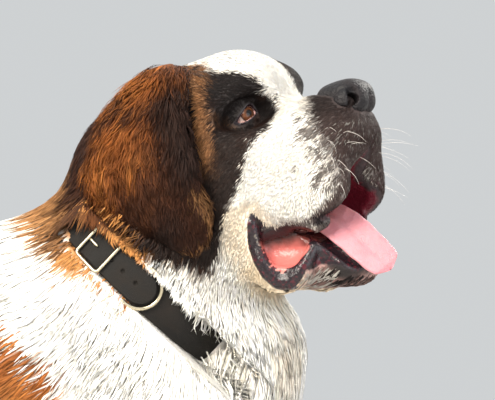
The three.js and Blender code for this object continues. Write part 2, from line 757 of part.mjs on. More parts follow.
// The strap's free end lies over the band and ends in a half round.
const STRAP = { from: 128, to: 78, half: 17, low: COLLAR.thick + GAP, thick: 3.4 };
function strapEnd() {
  const rings = [];
  const round = STRAP.half / MM_PER_DEGREE;
  const angles = [0, 0.02, 0.12, 0.3, 0.6, 1].map((t) => STRAP.to + t * round);
  for (let a = STRAP.to + round + 7; a < STRAP.from; a += 7) angles.push(a);
  for (const a of [...angles, STRAP.from]) {
    const into = clamp((a - STRAP.to) / round, 0, 1);
    const half = Math.max(STRAP.half * Math.sqrt(1 - (1 - into) ** 2), 1);
    const corners = [[-half, 0], [half, 0], [half, STRAP.thick], [-half, STRAP.thick]];
    rings.push(corners.map(([across, height]) => onLoop(a, across, STRAP.low + height)));
  }
  return loft(rings);
}

// A round bar that follows points on the loop, each [angle, across, height].
function bar(path, radius, closed) {
  const sides = 6;
  const at = path.map((p) => new THREE.Vector3(...onLoop(...p)));
  const rings = at.map((p, i) => {
    const before = at[closed ? (i + at.length - 1) % at.length : Math.max(i - 1, 0)];
    const after = at[closed ? (i + 1) % at.length : Math.min(i + 1, at.length - 1)];
    const along = after.clone().sub(before).normalize();
    const [angle, across, height] = path[i];
    const up = new THREE.Vector3(...onLoop(angle, across, height + 1)).sub(p);
    const side = along.clone().cross(up).normalize();
    up.crossVectors(side, along).normalize();
    return Array.from({ length: sides }, (_, j) => {
      const a = (2 * Math.PI * j) / sides;
      const q = p.clone().addScaledVector(side, radius * Math.cos(a));
      return q.addScaledVector(up, radius * Math.sin(a)).toArray();
    });
  });
  return loft(rings, closed);
}

const METAL_HIGH = STRAP.low + STRAP.thick + 2.6;
const BUCKLE = { angle: 112, long: 30, wide: 39, bar: 1.6, pin: 11 };
function buckleFrame() {
  const turn = BUCKLE.long / 2 / MM_PER_DEGREE;
  const half = BUCKLE.wide / 2;
  const cut = 3; // corners are rounded off
  const turnCut = cut / MM_PER_DEGREE;
  const path = [];
  for (const [u, v] of [[1, 1], [-1, 1], [-1, -1], [1, -1]]) {
    const along = [BUCKLE.angle + u * (turn - turnCut), v * half, METAL_HIGH];
    const over = [BUCKLE.angle + u * turn, v * (half - cut), METAL_HIGH];
    path.push(...(u * v > 0 ? [over, along] : [along, over]));
    if (u * v < 0) path.push([BUCKLE.angle + u * turn, 0, METAL_HIGH]);
  }
  return bar(path, BUCKLE.bar, true);
}

// The pin comes up through the strap and ends at the frame's bar on the nape's side.
function bucklePin() {
  const from = BUCKLE.angle + (BUCKLE.long / 2 - BUCKLE.bar - GAP) / MM_PER_DEGREE;
  const path = [0, 0.5, 1].map((u) => [from - (u * BUCKLE.pin) / MM_PER_DEGREE, 0, METAL_HIGH - 0.6 - 0.3 * u]);
  return bar(path, 1.4, false);
}

// A half-round ring lies round the strap's end.
const RING = { bar: 1.9, clear: 2.6 };
function halfRing() {
  const radius = STRAP.half + RING.clear + RING.bar;
  const middle = STRAP.to + STRAP.half / MM_PER_DEGREE;
  const high = COLLAR.thick + GAP + RING.bar;
  const path = [];
  for (let a = -100; a <= 100; a += 20) {
    const t = THREE.MathUtils.degToRad(a);
    path.push([middle - (radius * Math.cos(t)) / MM_PER_DEGREE, radius * Math.sin(t), high]);
  }
  return bar(path, RING.bar, false);
}

// Cheek teeth stand along each side of the lower jaw, where the open lips show them.
const TOOTH = { count: 4, first: [32, 24, -154], last: [-8, 29, -140], radius: 3.6, height: 8 };
function teeth() {
  const found = [];
  for (const side of [-1, 1]) {
    for (let i = 0; i < TOOTH.count; i += 1) {
      const t = i / (TOOTH.count - 1);
      const [x, y, z] = TOOTH.first.map((v, axis) => v + t * (TOOTH.last[axis] - v));
      const cone = new THREE.ConeGeometry(TOOTH.radius, TOOTH.height * 2, 5);
      cone.rotateX(Math.PI / 2);
      const { points, faces } = listsOf(cone);
      found.push(solid({ points: points.map(([a, b, c]) => fromHead([x + a, side * y + b, z + c])), faces }));
    }
  }
  return found;
}

// Building the flesh

const inHead = (x, y, z) => {
  const [hx, , hz] = toHead(x, y, z);
  return hx > -110 && hz > -215;
};
function importance(x, y, z) {
  if (inHead(x, y, z)) return toHead(x, y, z)[0] > 0 ? 11 : 5;
  return z < 75 ? 3 : 1;
}

const coat = thin(
  surface(
    whole,
    lines(-600, [[-250, 13], [-180, 13], [236, 13], [572, 7.5]]),
    lines(-216, [[216, 8]]),
    lines(-16, [[70, 8], [640, 13], [1004, 7.5]]),
  ),
  FLESH_TRIANGLES,
  importance,
);

const pieces = new Map(); // name to solid
const rooms = []; // room in the flesh for the pieces that sit in it
function add(name, lists, room = GAP) {
  const piece = solid(lists);
  pieces.set(name, piece);
  rooms.push(solid(grown(lists, room)), piece);
}

for (const [name, side] of [["left", 1], ["right", -1]]) {
  const root = fromHead([-78, side * 96, -28]);
  const flap = surface(
    earFlap(side),
    lines(root[0] - 112, [[root[0] + 112, 6]]),
    lines(root[1] - 76, [[root[1] + 76, 3]]),
    lines(root[2] - 124, [[root[2] + 124, 6]]),
  );
  add(`ear_${name}`, thin(flap, EAR_TRIANGLES), GAP + 0.6);

  const globe = new THREE.SphereGeometry(EYE.radius, 10, 7);
  globe.rotateX(Math.PI / 2);
  globe.translate(...fromHead([EYE.at[0], side * EYE.at[1], EYE.at[2]]));
  add(`eye_${name}`, listsOf(globe));

  const feet = [
    ["fore", FORELEG.at(-1), -side * FORE_STRIDE],
    ["hind", HINDLEG.at(-1), side * HIND_STRIDE],
  ];
  for (const [end, leg, shift] of feet) {
    TOES.forEach((toe, i) => {
      const x = leg.x + 4 + shift + toe.x + 12;
      add(`claw_${end}_${name}_${i + 1}`, claw(x, side * (leg.y + toe.y), side * toe.y * 0.004));
    });
  }
}

const noseLists = thin(
  surface(nose, lines(448, [[566, 5]]), lines(-164, [[-52, 5]]), lines(872, [[972, 5]])),
  150,
);
add("nose", noseLists);
add("tongue", tongue());
add("collar_band", band());
add("collar_strap_end", strapEnd());
add("buckle_frame", buckleFrame());
add("buckle_pin", bucklePin());
add("collar_ring", halfRing());

// Parting the flesh

let flesh = solid(coat).trimByPlane([0, 0, 1], 0);
for (const room of rooms) flesh = flesh.subtract(room);
flesh = biggest(flesh);

const TAIL_CUT = [
  [[-0.96, 0, -0.28], [-438, 0, 640]],
  [[0, 1, 0], [0, -74, 0]],
  [[0, -1, 0], [0, 74, 0]],
];
const NECK_CUT = [
  [[0.685, 0, 0.729], [262, 0, 700]],
  [[-0.25, 0, 0.97], [455, 0, 628]],
];
const HEAD_CUT = [
  [headDirection([0.943, 0, 0.333]), fromHead([-165, 0, 70])],
  [headDirection([0.157, 0, 0.988]), fromHead([-75, 0, -180])],
];
const JAW_CUT = [[headDirection([-0.36, 0, -0.933]), fromHead([-30, 0, -120])]];

const legCuts = (side) => {
  const fore = -side * FORE_STRIDE;
  const hind = side * HIND_STRIDE;
  const outward = [0, side, 0];
  return {
    foreleg: [
      [[0.08, -side * 0.33, -0.94], [240 + fore, side * 120, 452]],
      [outward, [0, side * 66, 0]],
      [[-1, 0, 0], [420, 0, 0]],
      [[1, 0, 0.3], [136 + fore, 0, 400]],
    ],
    hindleg: [
      [[0.5, -side * 0.25, -0.83], [-300 + hind, side * 110, 556]],
      [outward, [0, side * 46, 0]],
      [[-1, 0, 0], [-150, 0, 0]],
    ],
  };
};

let rest;
let made;
[made, rest] = part(flesh, TAIL_CUT);
pieces.set("tail", made);

for (const [name, side] of [["left", 1], ["right", -1]]) {
  const cuts = legCuts(side);
  let leg;
  [leg, rest] = part(rest, cuts.foreleg);
  [made, leg] = part(leg, [[[0, 0, -1], [0, 0, 82]]]);
  pieces.set(`forepaw_${name}`, made);
  pieces.set(`foreleg_${name}`, leg);
  [leg, rest] = part(rest, cuts.hindleg);
  [made, leg] = part(leg, [[[0, 0, -1], [0, 0, 78]]]);
  pieces.set(`hindpaw_${name}`, made);
  pieces.set(`hindleg_${name}`, leg);
}

[made, rest] = part(rest, NECK_CUT);
pieces.set("trunk", rest);
const [headBlock, neck] = part(made, HEAD_CUT);
pieces.set("neck", neck);
const [jaw, skull] = part(headBlock, JAW_CUT);
pieces.set("head", skull);
pieces.set("jaw", biggest(teeth().reduce((all, tooth) => all.add(tooth), jaw)));

// Colours, from the photograph

function material(color, roughness, metalness = 0) {
  return new THREE.MeshStandardMaterial({ color, roughness, metalness });
}

const MATERIALS = {
  coat_white: material(0xe9e2d6, 0.9),
  coat_red: material(0x9a5a2c, 0.88),
  coat_dark: material(0x3d2a20, 0.85),
  nose_leather: material(0x1c191b, 0.45),
  tongue: material(0xe39aa2, 0.4),
  eye: material(0x5a2f18, 0.1),
  claw: material(0x3a322c, 0.5),
  collar_leather: material(0x1b1817, 0.6),
  collar_metal: material(0xc9bd9b, 0.3, 0.9),
};
const materialOf = (name) => {
  if (name.startsWith("claw")) return MATERIALS.claw;
  if (name.startsWith("eye")) return MATERIALS.eye;
  if (name.startsWith("ear")) return MATERIALS.coat_dark;
  if (name === "nose") return MATERIALS.nose_leather;
  if (name === "tongue") return MATERIALS.tongue;
  if (name === "collar_band" || name === "collar_strap_end") return MATERIALS.collar_leather;
  if (name === "collar_ring" || name.startsWith("buckle")) return MATERIALS.collar_metal;
  return ["trunk", "tail"].includes(name) ? MATERIALS.coat_red : MATERIALS.coat_white;
};

const dog = new THREE.Group();
for (const [name, piece] of pieces) {
  const mesh = new THREE.Mesh(geometryOf(piece), materialOf(name));
  mesh.name = name;
  dog.add(mesh);
}

export default dog;
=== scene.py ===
import math

import bpy
import numpy as np
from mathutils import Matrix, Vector, kdtree


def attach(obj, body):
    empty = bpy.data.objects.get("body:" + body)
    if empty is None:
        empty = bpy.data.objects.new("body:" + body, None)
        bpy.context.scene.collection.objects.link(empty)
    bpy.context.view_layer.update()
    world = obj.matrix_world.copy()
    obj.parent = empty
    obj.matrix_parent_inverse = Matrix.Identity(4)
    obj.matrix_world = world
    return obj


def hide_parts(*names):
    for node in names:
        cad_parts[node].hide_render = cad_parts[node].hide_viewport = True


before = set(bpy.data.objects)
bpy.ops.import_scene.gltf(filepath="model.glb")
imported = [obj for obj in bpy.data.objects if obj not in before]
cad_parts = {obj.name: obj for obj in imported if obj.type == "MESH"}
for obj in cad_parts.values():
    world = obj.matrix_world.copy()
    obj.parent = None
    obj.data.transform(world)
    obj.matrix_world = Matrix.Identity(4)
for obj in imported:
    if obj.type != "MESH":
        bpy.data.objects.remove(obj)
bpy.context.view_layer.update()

# Driving dimensions of the coat's outline, in millimetres as in the solids

# From rump to chest: the back, the belly and half the width.
TRUNK = [
    # x, top, bottom, half
    (-415, 700, 585, 62),
    (-375, 745, 520, 120),
    (-300, 775, 468, 150),
    (-200, 781, 434, 161),
    (-80, 778, 402, 174),
    (40, 785, 378, 182),
    (160, 797, 368, 180),
    (260, 780, 376, 166),
    (350, 740, 412, 138),
    (415, 690, 480, 92),
]
# Legs from the top down: height, the middle of the section (x and y), its reach fore and aft, its half width.
FORELEG = [
    (600, 205, 108, 88, 66),
    (500, 214, 122, 84, 62),
    (420, 230, 124, 72, 56),
    (340, 245, 120, 55, 47),
    (250, 254, 117, 45, 41),
    (165, 259, 115, 41, 39),
    (110, 264, 115, 38, 38),
    (60, 274, 116, 42, 42),
    (25, 280, 116, 44, 42),
]
HINDLEG = [
    (660, -322, 84, 112, 62),
    (570, -312, 102, 124, 70),
    (490, -296, 110, 114, 66),
    (410, -288, 114, 90, 58),
    (345, -312, 114, 69, 51),
    (285, -350, 111, 56, 44),
    (235, -382, 109, 50, 38),
    (190, -399, 108, 45, 35),
    (120, -397, 108, 36, 33),
    (60, -390, 108, 40, 38),
    (25, -384, 108, 42, 39),
]
FORE_STRIDE = 14  # the left foreleg stands this far back of FORELEG, and the right one ahead
HIND_STRIDE = 20  # the left hindleg stands this far ahead of HINDLEG, and the right one back
FOOT_SINK = 6  # how far the forms of the feet reach below the floor, where the solids have flat soles
# The middle of each toe, ahead of the foot and out from it
TOES = [(36, -34), (52, -12), (52, 12), (36, 34)]
TAIL = [
    # x, z, radius
    (-385, 706, 46),
    (-446, 656, 44),
    (-482, 580, 46),
    (-497, 490, 49),
    (-500, 400, 50),
    (-500, 320, 46),
    (-506, 262, 36),
    (-514, 222, 20),
]
# The ear flap in the head's frame: height, middle, half its length fore and aft, and half its thickness.
EAR = [
    (68, -74, 76, 20, 8),
    (46, -83, 94, 40, 9),
    (15, -97, 105, 52, 9),
    (-25, -105, 110, 60, 9),
    (-62, -95, 109, 48, 8),
    (-92, -79, 106, 34, 8),
    (-112, -75, 103, 20, 7),
    (-123, -75, 102, 5, 4),
]
EAR_CURL = 6  # how far the flap's edges lie in from its middle
# The collar's loop: its middle, its axis in x and z, and half its depth and breadth inside
COLLAR_AT = (294, -8, 740)
COLLAR_ALONG = (0.685, 0.7286)
COLLAR_DEEP = 116
COLLAR_HALF = 118
COLLAR_WIDTH = 38
COLLAR_THICK = 4

# The head's own frame: its origin is midway between the eyes, +X runs to the nose and +Z is up.
HEAD_AT = np.array([425.0, -60.0, 906.0])
TURN = math.radians(23)
RAISE = math.radians(17)
EYE_AT = np.array([-14.5, 36.0, 0.0])
EYE_RADIUS = 12.5

# Distances, negative inside a form. Each form is a function of arrays x, y and z.

FAR = 1e3  # the distance where there is nothing


def blend(a, b, reach):
    """Both forms, with a soft join where they lie within reach of each other."""
    h = np.maximum(reach - np.abs(a - b), 0) / reach
    return np.minimum(a, b) - h * h * (reach / 4)


def carve(a, b, reach):
    """a less b."""
    return -blend(-a, b, reach)


def ball(centre, radii, tilt=0.0):
    """An ellipsoid, tilted nose-up by an angle in degrees."""
    cx, cy, cz = centre
    rx, ry, rz = radii
    c, s = math.cos(math.radians(tilt)), math.sin(math.radians(tilt))

    def distance(x, y, z):
        dx, dz = x - cx, z - cz
        u = (dx * c + dz * s) / rx
        v = (y - cy) / ry
        w = (dz * c - dx * s) / rz
        near = np.sqrt(u * u + v * v + w * w)
        slope = np.sqrt((u / rx) ** 2 + (v / ry) ** 2 + (w / rz) ** 2)
        return near * (near - 1) / np.maximum(slope, 1e-6)

    return distance


def block(centre, half, rounding):
    """A box with rounded edges."""

    def distance(x, y, z):
        u, v, w = (np.abs(p - c) - h + rounding for p, c, h in zip((x, y, z), centre, half))
        outside = np.sqrt(np.maximum(u, 0) ** 2 + np.maximum(v, 0) ** 2 + np.maximum(w, 0) ** 2)
        return outside + np.minimum(np.maximum(np.maximum(u, v), w), 0) - rounding

    return distance


def rod(a, b, ra, rb):
    """A rod from a to b whose radius runs from ra to rb."""
    ax, ay, az = a
    dx, dy, dz = (q - p for p, q in zip(a, b))
    length2 = dx * dx + dy * dy + dz * dz

    def distance(x, y, z):
        t = np.clip(((x - ax) * dx + (y - ay) * dy + (z - az) * dz) / length2, 0, 1)
        u, v, w = x - ax - t * dx, y - ay - t * dy, z - az - t * dz
        return np.sqrt(u * u + v * v + w * w) - (ra + t * (rb - ra))

    return distance


def join(pieces, d, x, y, z):
    """The form at distance d with more forms blended into it, each given with its reach."""
    for piece, reach in pieces:
        d = blend(d, piece(x, y, z), reach)
    return d


def strand(points, radii, reach):
    """Rods one after another through points."""
    ends, sizes = zip(points, points[1:]), zip(radii, radii[1:])
    first, *rest = [rod(*pair, *pair_sizes) for pair, pair_sizes in zip(ends, sizes)]
    rest = [(piece, reach) for piece in rest]
    return lambda x, y, z: join(rest, first(x, y, z), x, y, z)


def stations(rows):
    """Smooth values between stations: the first column says where, and the others have a curve each."""
    rows = np.array(sorted(rows), dtype=float)
    at, values = rows[:, 0], rows[:, 1:]
    last = len(at) - 1
    before = np.maximum(np.arange(last + 1) - 1, 0)
    after = np.minimum(np.arange(last + 1) + 1, last)
    slopes = (values[after] - values[before]) / (at[after] - at[before])[:, None]

    def found(t):
        held = np.clip(t, at[0], at[-1])
        i = np.clip(np.searchsorted(at, held) - 1, 0, last - 1)
        span = at[i + 1] - at[i]
        s = (held - at[i]) / span
        out = []
        for k in range(values.shape[1]):
            a, b = values[i, k], values[i + 1, k]
            ma, mb = slopes[i, k] * span, slopes[i + 1, k] * span
            out.append(a + s * (ma + s * (3 * (b - a) - 2 * ma - mb + s * (2 * (a - b) + ma + mb))))
        return np.abs(t - held), out

    return found


def section(u, v, power, size, past):
    """The distance to a section that is an ellipse, or squarer for a higher power, and to its end."""
    q = (np.abs(u) ** power + np.abs(v) ** power) ** (1 / power)
    d = (q - 1) * size
    return np.where(past > 0, np.sqrt(np.maximum(d, 0) ** 2 + past * past), d)


# The body

trunk_at = stations(TRUNK)


def barrel(x, y, z):
    """The trunk."""
    past, (top, bottom, half) = trunk_at(x)
    high = (top - bottom) / 2
    return section(y / half, (z - bottom - high) / high, 2.3, np.minimum(half, high), past)


def limb(rows):
    """A leg through its sections, without its foot."""
    at = stations(rows)

    def distance(x, y, z):
        past, (mx, my, reach, half) = at(z)
        return section((x - mx) / reach, (y - my) / half, 2.0, np.minimum(reach, half), past)

    return distance


def foot(x0, y0):
    """A foot with its four toes."""
    pad = ball((x0 + 4, y0, 26), (52, 44, 26 + FOOT_SINK))
    toes = [(ball((x0 + tx, y0 + ty, 22), (31, 15, 22 + FOOT_SINK), -8), 8) for tx, ty in TOES]
    return lambda x, y, z: join(toes, pad(x, y, z), x, y, z)


fore_limb, hind_limb = limb(FORELEG), limb(HINDLEG)
fore_foot = foot(FORELEG[-1][1] + 4, FORELEG[-1][2])
hind_foot = foot(HINDLEG[-1][1] + 4, HINDLEG[-1][2])
shoulder = ball((205, 92, 560), (112, 68, 165), 12)
haunch = ball((-306, 88, 590), (116, 76, 150), -8)
croup = ball((-350, 0, 690), (90, 92, 76), 25)


def legs(x, y, z):
    """All four legs."""
    side = np.where(y > 0, 1.0, -1.0)
    out = np.abs(y)
    xf, xh = x + side * FORE_STRIDE, x - side * HIND_STRIDE
    fore = blend(fore_limb(xf, out, z), fore_foot(xf, out, z), 22)
    hind = blend(hind_limb(xh, out, z), hind_foot(xh, out, z), 22)
    return np.minimum(fore, hind)


tail = strand([(x, 0, z) for x, z, _ in TAIL], [r for _, _, r in TAIL], 8)
neck_base = rod((205, 0, 625), (292, -8, 750), 142, 108)
neck_top = rod((290, -8, 756), (334, -22, 850), 106, 94)
mane = ball((287, -14, 846), (70, 84, 70))
ruff_top = ball((370, -6, 666), (82, 116, 66))
ruff_low = ball((358, 0, 588), (92, 130, 128))

# The coat parts where the collar lies, and closes over it at the nape and under the throat.
GROOVE = {"half": COLLAR_WIDTH / 2 + 4, "nape": 128, "throat": 33, "cover": 10}


def collar_place(x, y, z):
    """Where a point lies on the collar's loop: across the band, its angle from the throat, and its height."""
    dx, dy, dz = x - COLLAR_AT[0], y - COLLAR_AT[1], z - COLLAR_AT[2]
    ax, az = COLLAR_ALONG
    across = dx * ax + dz * az
    down = dx * az - dz * ax
    angle = np.degrees(np.arctan2(np.abs(dy), down))
    high = (np.sqrt((down / COLLAR_DEEP) ** 2 + (dy / COLLAR_HALF) ** 2) - 1) * COLLAR_HALF
    return across, angle, high


def collar_groove(x, y, z):
    """What the collar's bed takes out of the coat."""
    across, angle, high = collar_place(x, y, z)
    covered = np.maximum(np.maximum(angle - GROOVE["nape"], GROOVE["throat"] - angle), 0) * GROOVE["cover"]
    return np.maximum(np.abs(across) - GROOVE["half"], covered - high)


def body(x, y, z, grooved=True):
    """The coat's outline of all but the head, with or without the collar's bed."""
    d = join([(shoulder, 70), (haunch, 60)], barrel(x, y, z), x, np.abs(y), z)
    d = join([(croup, 50), (legs, 38)], d, x, y, z)
    neck = join([(neck_top, 30), (mane, 24)], neck_base(x, y, z), x, y, z)
    ruff = blend(ruff_top(x, y, z), ruff_low(x, y, z), 50)
    d = blend(blend(d, neck, 56), ruff, 60)
    if grooved:
        d = carve(d, collar_groove(x, y, z), 12)
    return blend(d, tail(x, y, z), 34)


# The head, in its own frame


def to_head(x, y, z):
    """Places in the shared frame, in the head's own."""
    dx, dy, up = x - HEAD_AT[0], y - HEAD_AT[1], z - HEAD_AT[2]
    ahead = dx * math.cos(TURN) - dy * math.sin(TURN)
    left = dx * math.sin(TURN) + dy * math.cos(TURN)
    c, s = math.cos(RAISE), math.sin(RAISE)
    return ahead * c + up * s, left, up * c - ahead * s


def from_head(hx, hy, hz):
    """Places in the head's own frame, in the shared one."""
    c, s = math.cos(RAISE), math.sin(RAISE)
    ahead, up = hx * c - hz * s, hx * s + hz * c
    ct, st = math.cos(TURN), math.sin(TURN)
    return HEAD_AT[0] + ahead * ct + hy * st, HEAD_AT[1] - ahead * st + hy * ct, HEAD_AT[2] + up


# The forms of the head and how far each blends into those before it. Those of the sides lie on both sides.
SKULL_MIDDLE = [
    (ball((-78, 0, -2), (90, 80, 74)), 30),
    (ball((-30, 0, 19), (57, 60, 54)), 30),
    (ball((-88, 0, -95), (72, 70, 80)), 40),
    (block((44, 0, -34), (54, 31, 35), 24), 26),
    (ball((56, 0, -48), (42, 43, 32)), 20),
]
SKULL_SIDES = [
    (ball((-2, 32, 26), (28, 25, 25)), 16),
    (ball((-40, 54, -30), (60, 35, 46)), 30),
    (ball((-64, 44, -82), (60, 42, 62)), 34),
    (ball((35, 28, -48), (55, 32, 44)), 22),
    (ball((29, 41, -82), (54, 23, 56), 14), 18),
    (ball((-70, 70, 40), (40, 24, 24)), 22),
]
mouth = ball((28, 0, -118), (66, 42, 42), -8)
JAW_MIDDLE = [
    (ball((-14, 0, -156), (62, 36, 24), -14), 16),
    (ball((44, 0, -168), (21, 33, 20)), 16),
]
JAW_SIDES = [
    (rod((-66, 34, -124), (42, 17, -167), 35, 20), 20),
    (ball((-12, 47, -152), (33, 15, 33), 10), 16),
]
lip_opening = ball((4, 56, -140), (30, 17, 17), -14)
orbit = ball((5, 61, -2), (30, 29, 15), 12)


def lip_split(x, out, z):
    """The split of the upper lip under the nose, which widens downwards."""
    return np.maximum(0.76 * out + 0.65 * (z + 68), 52 - x)


def with_sides(middle, sides, hx, hy, hz):
    """Forms on the head's middle and, blended into them, those of its sides."""
    return join(sides, join(middle, np.full_like(hx, FAR), hx, hy, hz), hx, np.abs(hy), hz)


def head(hx, hy, hz):
    """The coat's outline of the head."""
    out = np.abs(hy)
    upper = with_sides(SKULL_MIDDLE, SKULL_SIDES, hx, hy, hz)
    upper = carve(upper, np.minimum(mouth(hx, hy, hz), lip_split(hx, out, hz)), 8)
    upper = carve(upper, orbit(hx, out, hz), 14)
    jaw = with_sides(JAW_MIDDLE, JAW_SIDES, hx, hy, hz)
    return carve(blend(upper, jaw, 8), lip_opening(hx, out, hz), 6)


ear_at = stations(EAR)


def ear_flap(hx, hy, hz, slim):
    """Both ears, each slimmed on every side."""
    past, (mx, my, reach, half) = ear_at(hz)
    u = (hx - mx) / (reach - slim)
    middle = my - EAR_CURL * np.minimum(u * u, 1.5)
    thick = np.maximum(half - slim, 1.5)
    return section(u, (np.abs(hy) - middle) / thick, 2.4, thick, past)


def coat_outline(x, y, z):
    """The tips of the coat, without the ears."""
    hx, hy, hz = to_head(x, y, z)
    return blend(body(x, y, z), head(hx, hy, hz), 34)


# Meshes from distances


def lines(low, stretches):
    """Grid lines from low on, each stretch to an end with a step."""
    found = [low]
    for end, step in stretches:
        count = math.ceil((end - found[-1]) / step)
        found += list(np.linspace(found[-1], end, count + 1)[1:])
    return np.array(found, dtype=float)


# A cell's corners are numbered by their place in x, y and z, and its edges join corners one bit apart.
EDGES = [(c, c | bit) for bit in (1, 2, 4) for c in range(8) if not c & bit]
SIDES = [(0, 1, 3, 2), (4, 5, 7, 6), (0, 1, 5, 4), (2, 3, 7, 6), (0, 2, 6, 4), (1, 3, 7, 5)]
EDGE_OF = {frozenset(edge): i for i, edge in enumerate(EDGES)}


def patches_of(mask):
    """For a pattern of corners inside the form: which patch of surface each crossed edge belongs to."""
    patch = [i if (mask >> a & 1) != (mask >> b & 1) else -1 for i, (a, b) in enumerate(EDGES)]

    def link(e, f):
        keep, drop = patch[e], patch[f]
        for i, value in enumerate(patch):
            if value == drop:
                patch[i] = keep

    for side in SIDES:
        around = [EDGE_OF[frozenset((side[i], side[(i + 1) % 4]))] for i in range(4)]
        crossed = [e for e in around if patch[e] >= 0]
        if len(crossed) == 2:
            link(*crossed)
        elif len(crossed) == 4:
            for i, corner in enumerate(side):
                if mask >> corner & 1:
                    link(around[i - 1], around[i])
    names = sorted({value for value in patch if value >= 0})
    return len(names), [names.index(value) if value >= 0 else -1 for value in patch]


PATCHES = [patches_of(mask) for mask in range(256)]
PATCH_COUNT = np.array([count for count, _ in PATCHES])
PATCH_OF = np.array([of for _, of in PATCHES])
SKIP = 4  # grid lines between the points of the coarse look that finds where the surface is


def sampled(distance, xs, ys, zs):
    """The field on a grid, worked out only near its surface."""
    grids = (xs, ys, zs)
    shape = tuple(len(grid) for grid in grids)
    coarse = [np.unique(np.append(np.arange(0, n, SKIP), n - 1)) for n in shape]
    found = np.stack(np.meshgrid(*(g[c] for g, c in zip(grids, coarse)), indexing="ij"), -1).reshape(-1, 3)
    rough = distance(*found.T).reshape([len(c) for c in coarse])
    n = [len(c) - 1 for c in coarse]
    corners = [rough[a : a + n[0], b : b + n[1], c : c + n[2]] for a, b, c in np.ndindex(2, 2, 2)]
    across = [np.diff(g[c]) for g, c in zip(grids, coarse)]
    dx, dy, dz = across[0][:, None, None], across[1][None, :, None], across[2][None, None, :]
    size = np.sqrt(dx ** 2 + dy ** 2 + dz ** 2)
    active = (np.min(np.abs(corners), 0) < size * 0.9) | (np.min(corners, 0) * np.max(corners, 0) < 0)

    def spread(a):
        for axis, c in enumerate(coarse):
            a = a.repeat(np.diff(c), axis)
        return a

    values = np.ones(shape, np.float32)
    values[:-1, :-1, :-1] = spread(np.where(corners[0] < 0, -1, 1))
    wanted = np.zeros(shape, bool)
    cells = spread(active)
    nx, ny, nz = shape
    for a, b, c in np.ndindex(2, 2, 2):
        wanted[a : nx - 1 + a, b : ny - 1 + b, c : nz - 1 + c] |= cells
    i, j, k = np.nonzero(wanted)
    values[i, j, k] = distance(xs[i], ys[j], zs[k])
    return values


# Around a crossed grid edge lie four cells. Each is given by its steps back from the edge's own.
TURNS = [
    [(0, 0, 0), (0, 1, 0), (0, 1, 1), (0, 0, 1)],
    [(0, 0, 0), (0, 0, 1), (1, 0, 1), (1, 0, 0)],
    [(0, 0, 0), (1, 0, 0), (1, 1, 0), (0, 1, 0)],
]


def surface(distance, xs, ys, zs):
    """The surface where the distance is zero, with a point for each patch of it in each cell."""
    values = sampled(distance, xs, ys, zs)
    n = [len(xs) - 1, len(ys) - 1, len(zs) - 1]
    inside = values < 0
    at = [tuple(slice(c >> axis & 1, (c >> axis & 1) + n[axis]) for axis in range(3)) for c in range(8)]
    masks = sum(inside[where].astype(np.int16) << c for c, where in enumerate(at))
    i, j, k = np.nonzero((masks > 0) & (masks < 255))
    mask = masks[i, j, k]
    first = np.full(n, -1, np.int64)
    count = PATCH_COUNT[mask]
    first[i, j, k] = np.cumsum(count) - count
    start = first[i, j, k]
    total = int(count.sum())
    sums, hits = np.zeros((total, 3)), np.zeros(total)
    corner_values = [values[where][i, j, k].astype(float) for where in at]
    for edge, (a, b) in enumerate(EDGES):
        patch = PATCH_OF[mask, edge]
        on = patch >= 0
        va, vb = corner_values[a][on], corner_values[b][on]
        t = va / (va - vb)
        target = start[on] + patch[on]
        for axis, (grid, index) in enumerate(((xs, i), (ys, j), (zs, k))):
            low = grid[index[on] + (a >> axis & 1)]
            high = grid[index[on] + (b >> axis & 1)]
            sums[:, axis] += np.bincount(target, low * (1 - t) + high * t, total)
        hits += np.bincount(target, minlength=total)
    faces = []
    for axis, turn in enumerate(TURNS):
        here = inside[:-1, :-1, :-1]
        beyond = inside[tuple(slice(int(axis == k), n[k] + (axis == k)) for k in range(3))]
        i, j, k = np.nonzero(here != beyond)
        ring = []
        for a, b, c in turn:
            corner = a + 2 * b + 4 * c
            edge = EDGE_OF[frozenset((corner, corner + (1 << axis)))]
            ring.append(first[i - a, j - b, k - c] + PATCH_OF[masks[i - a, j - b, k - c], edge])
        ring = np.stack(ring, 1)
        outward = here[i, j, k]
        faces.append(np.where(outward[:, None], ring, ring[:, ::-1]))
    return sums / hits[:, None], np.concatenate(faces)


def triangles(points, quads):
    """Each quad as two triangles, cut along its shorter diagonal."""
    a, b, c, d = (points[quads[:, i]] for i in range(4))
    short = np.linalg.norm(a - c, axis=1) <= np.linalg.norm(b - d, axis=1)
    first = np.where(short[:, None], quads[:, [0, 1, 2]], quads[:, [0, 1, 3]])
    second = np.where(short[:, None], quads[:, [0, 2, 3]], quads[:, [1, 2, 3]])
    return np.concatenate([first, second])


# How a triangle falls apart when its first edge, its first two or all three are split.
# 0 to 2 are its corners, and 3 to 5 the middles of its edges.
SPLITS = {
    (True, False, False): [(0, 3, 2), (3, 1, 2)],
    (True, True, False): [(3, 1, 4), (0, 3, 4), (0, 4, 2)],
    (True, True, True): [(0, 3, 5), (3, 1, 4), (5, 4, 2), (3, 4, 5)],
}


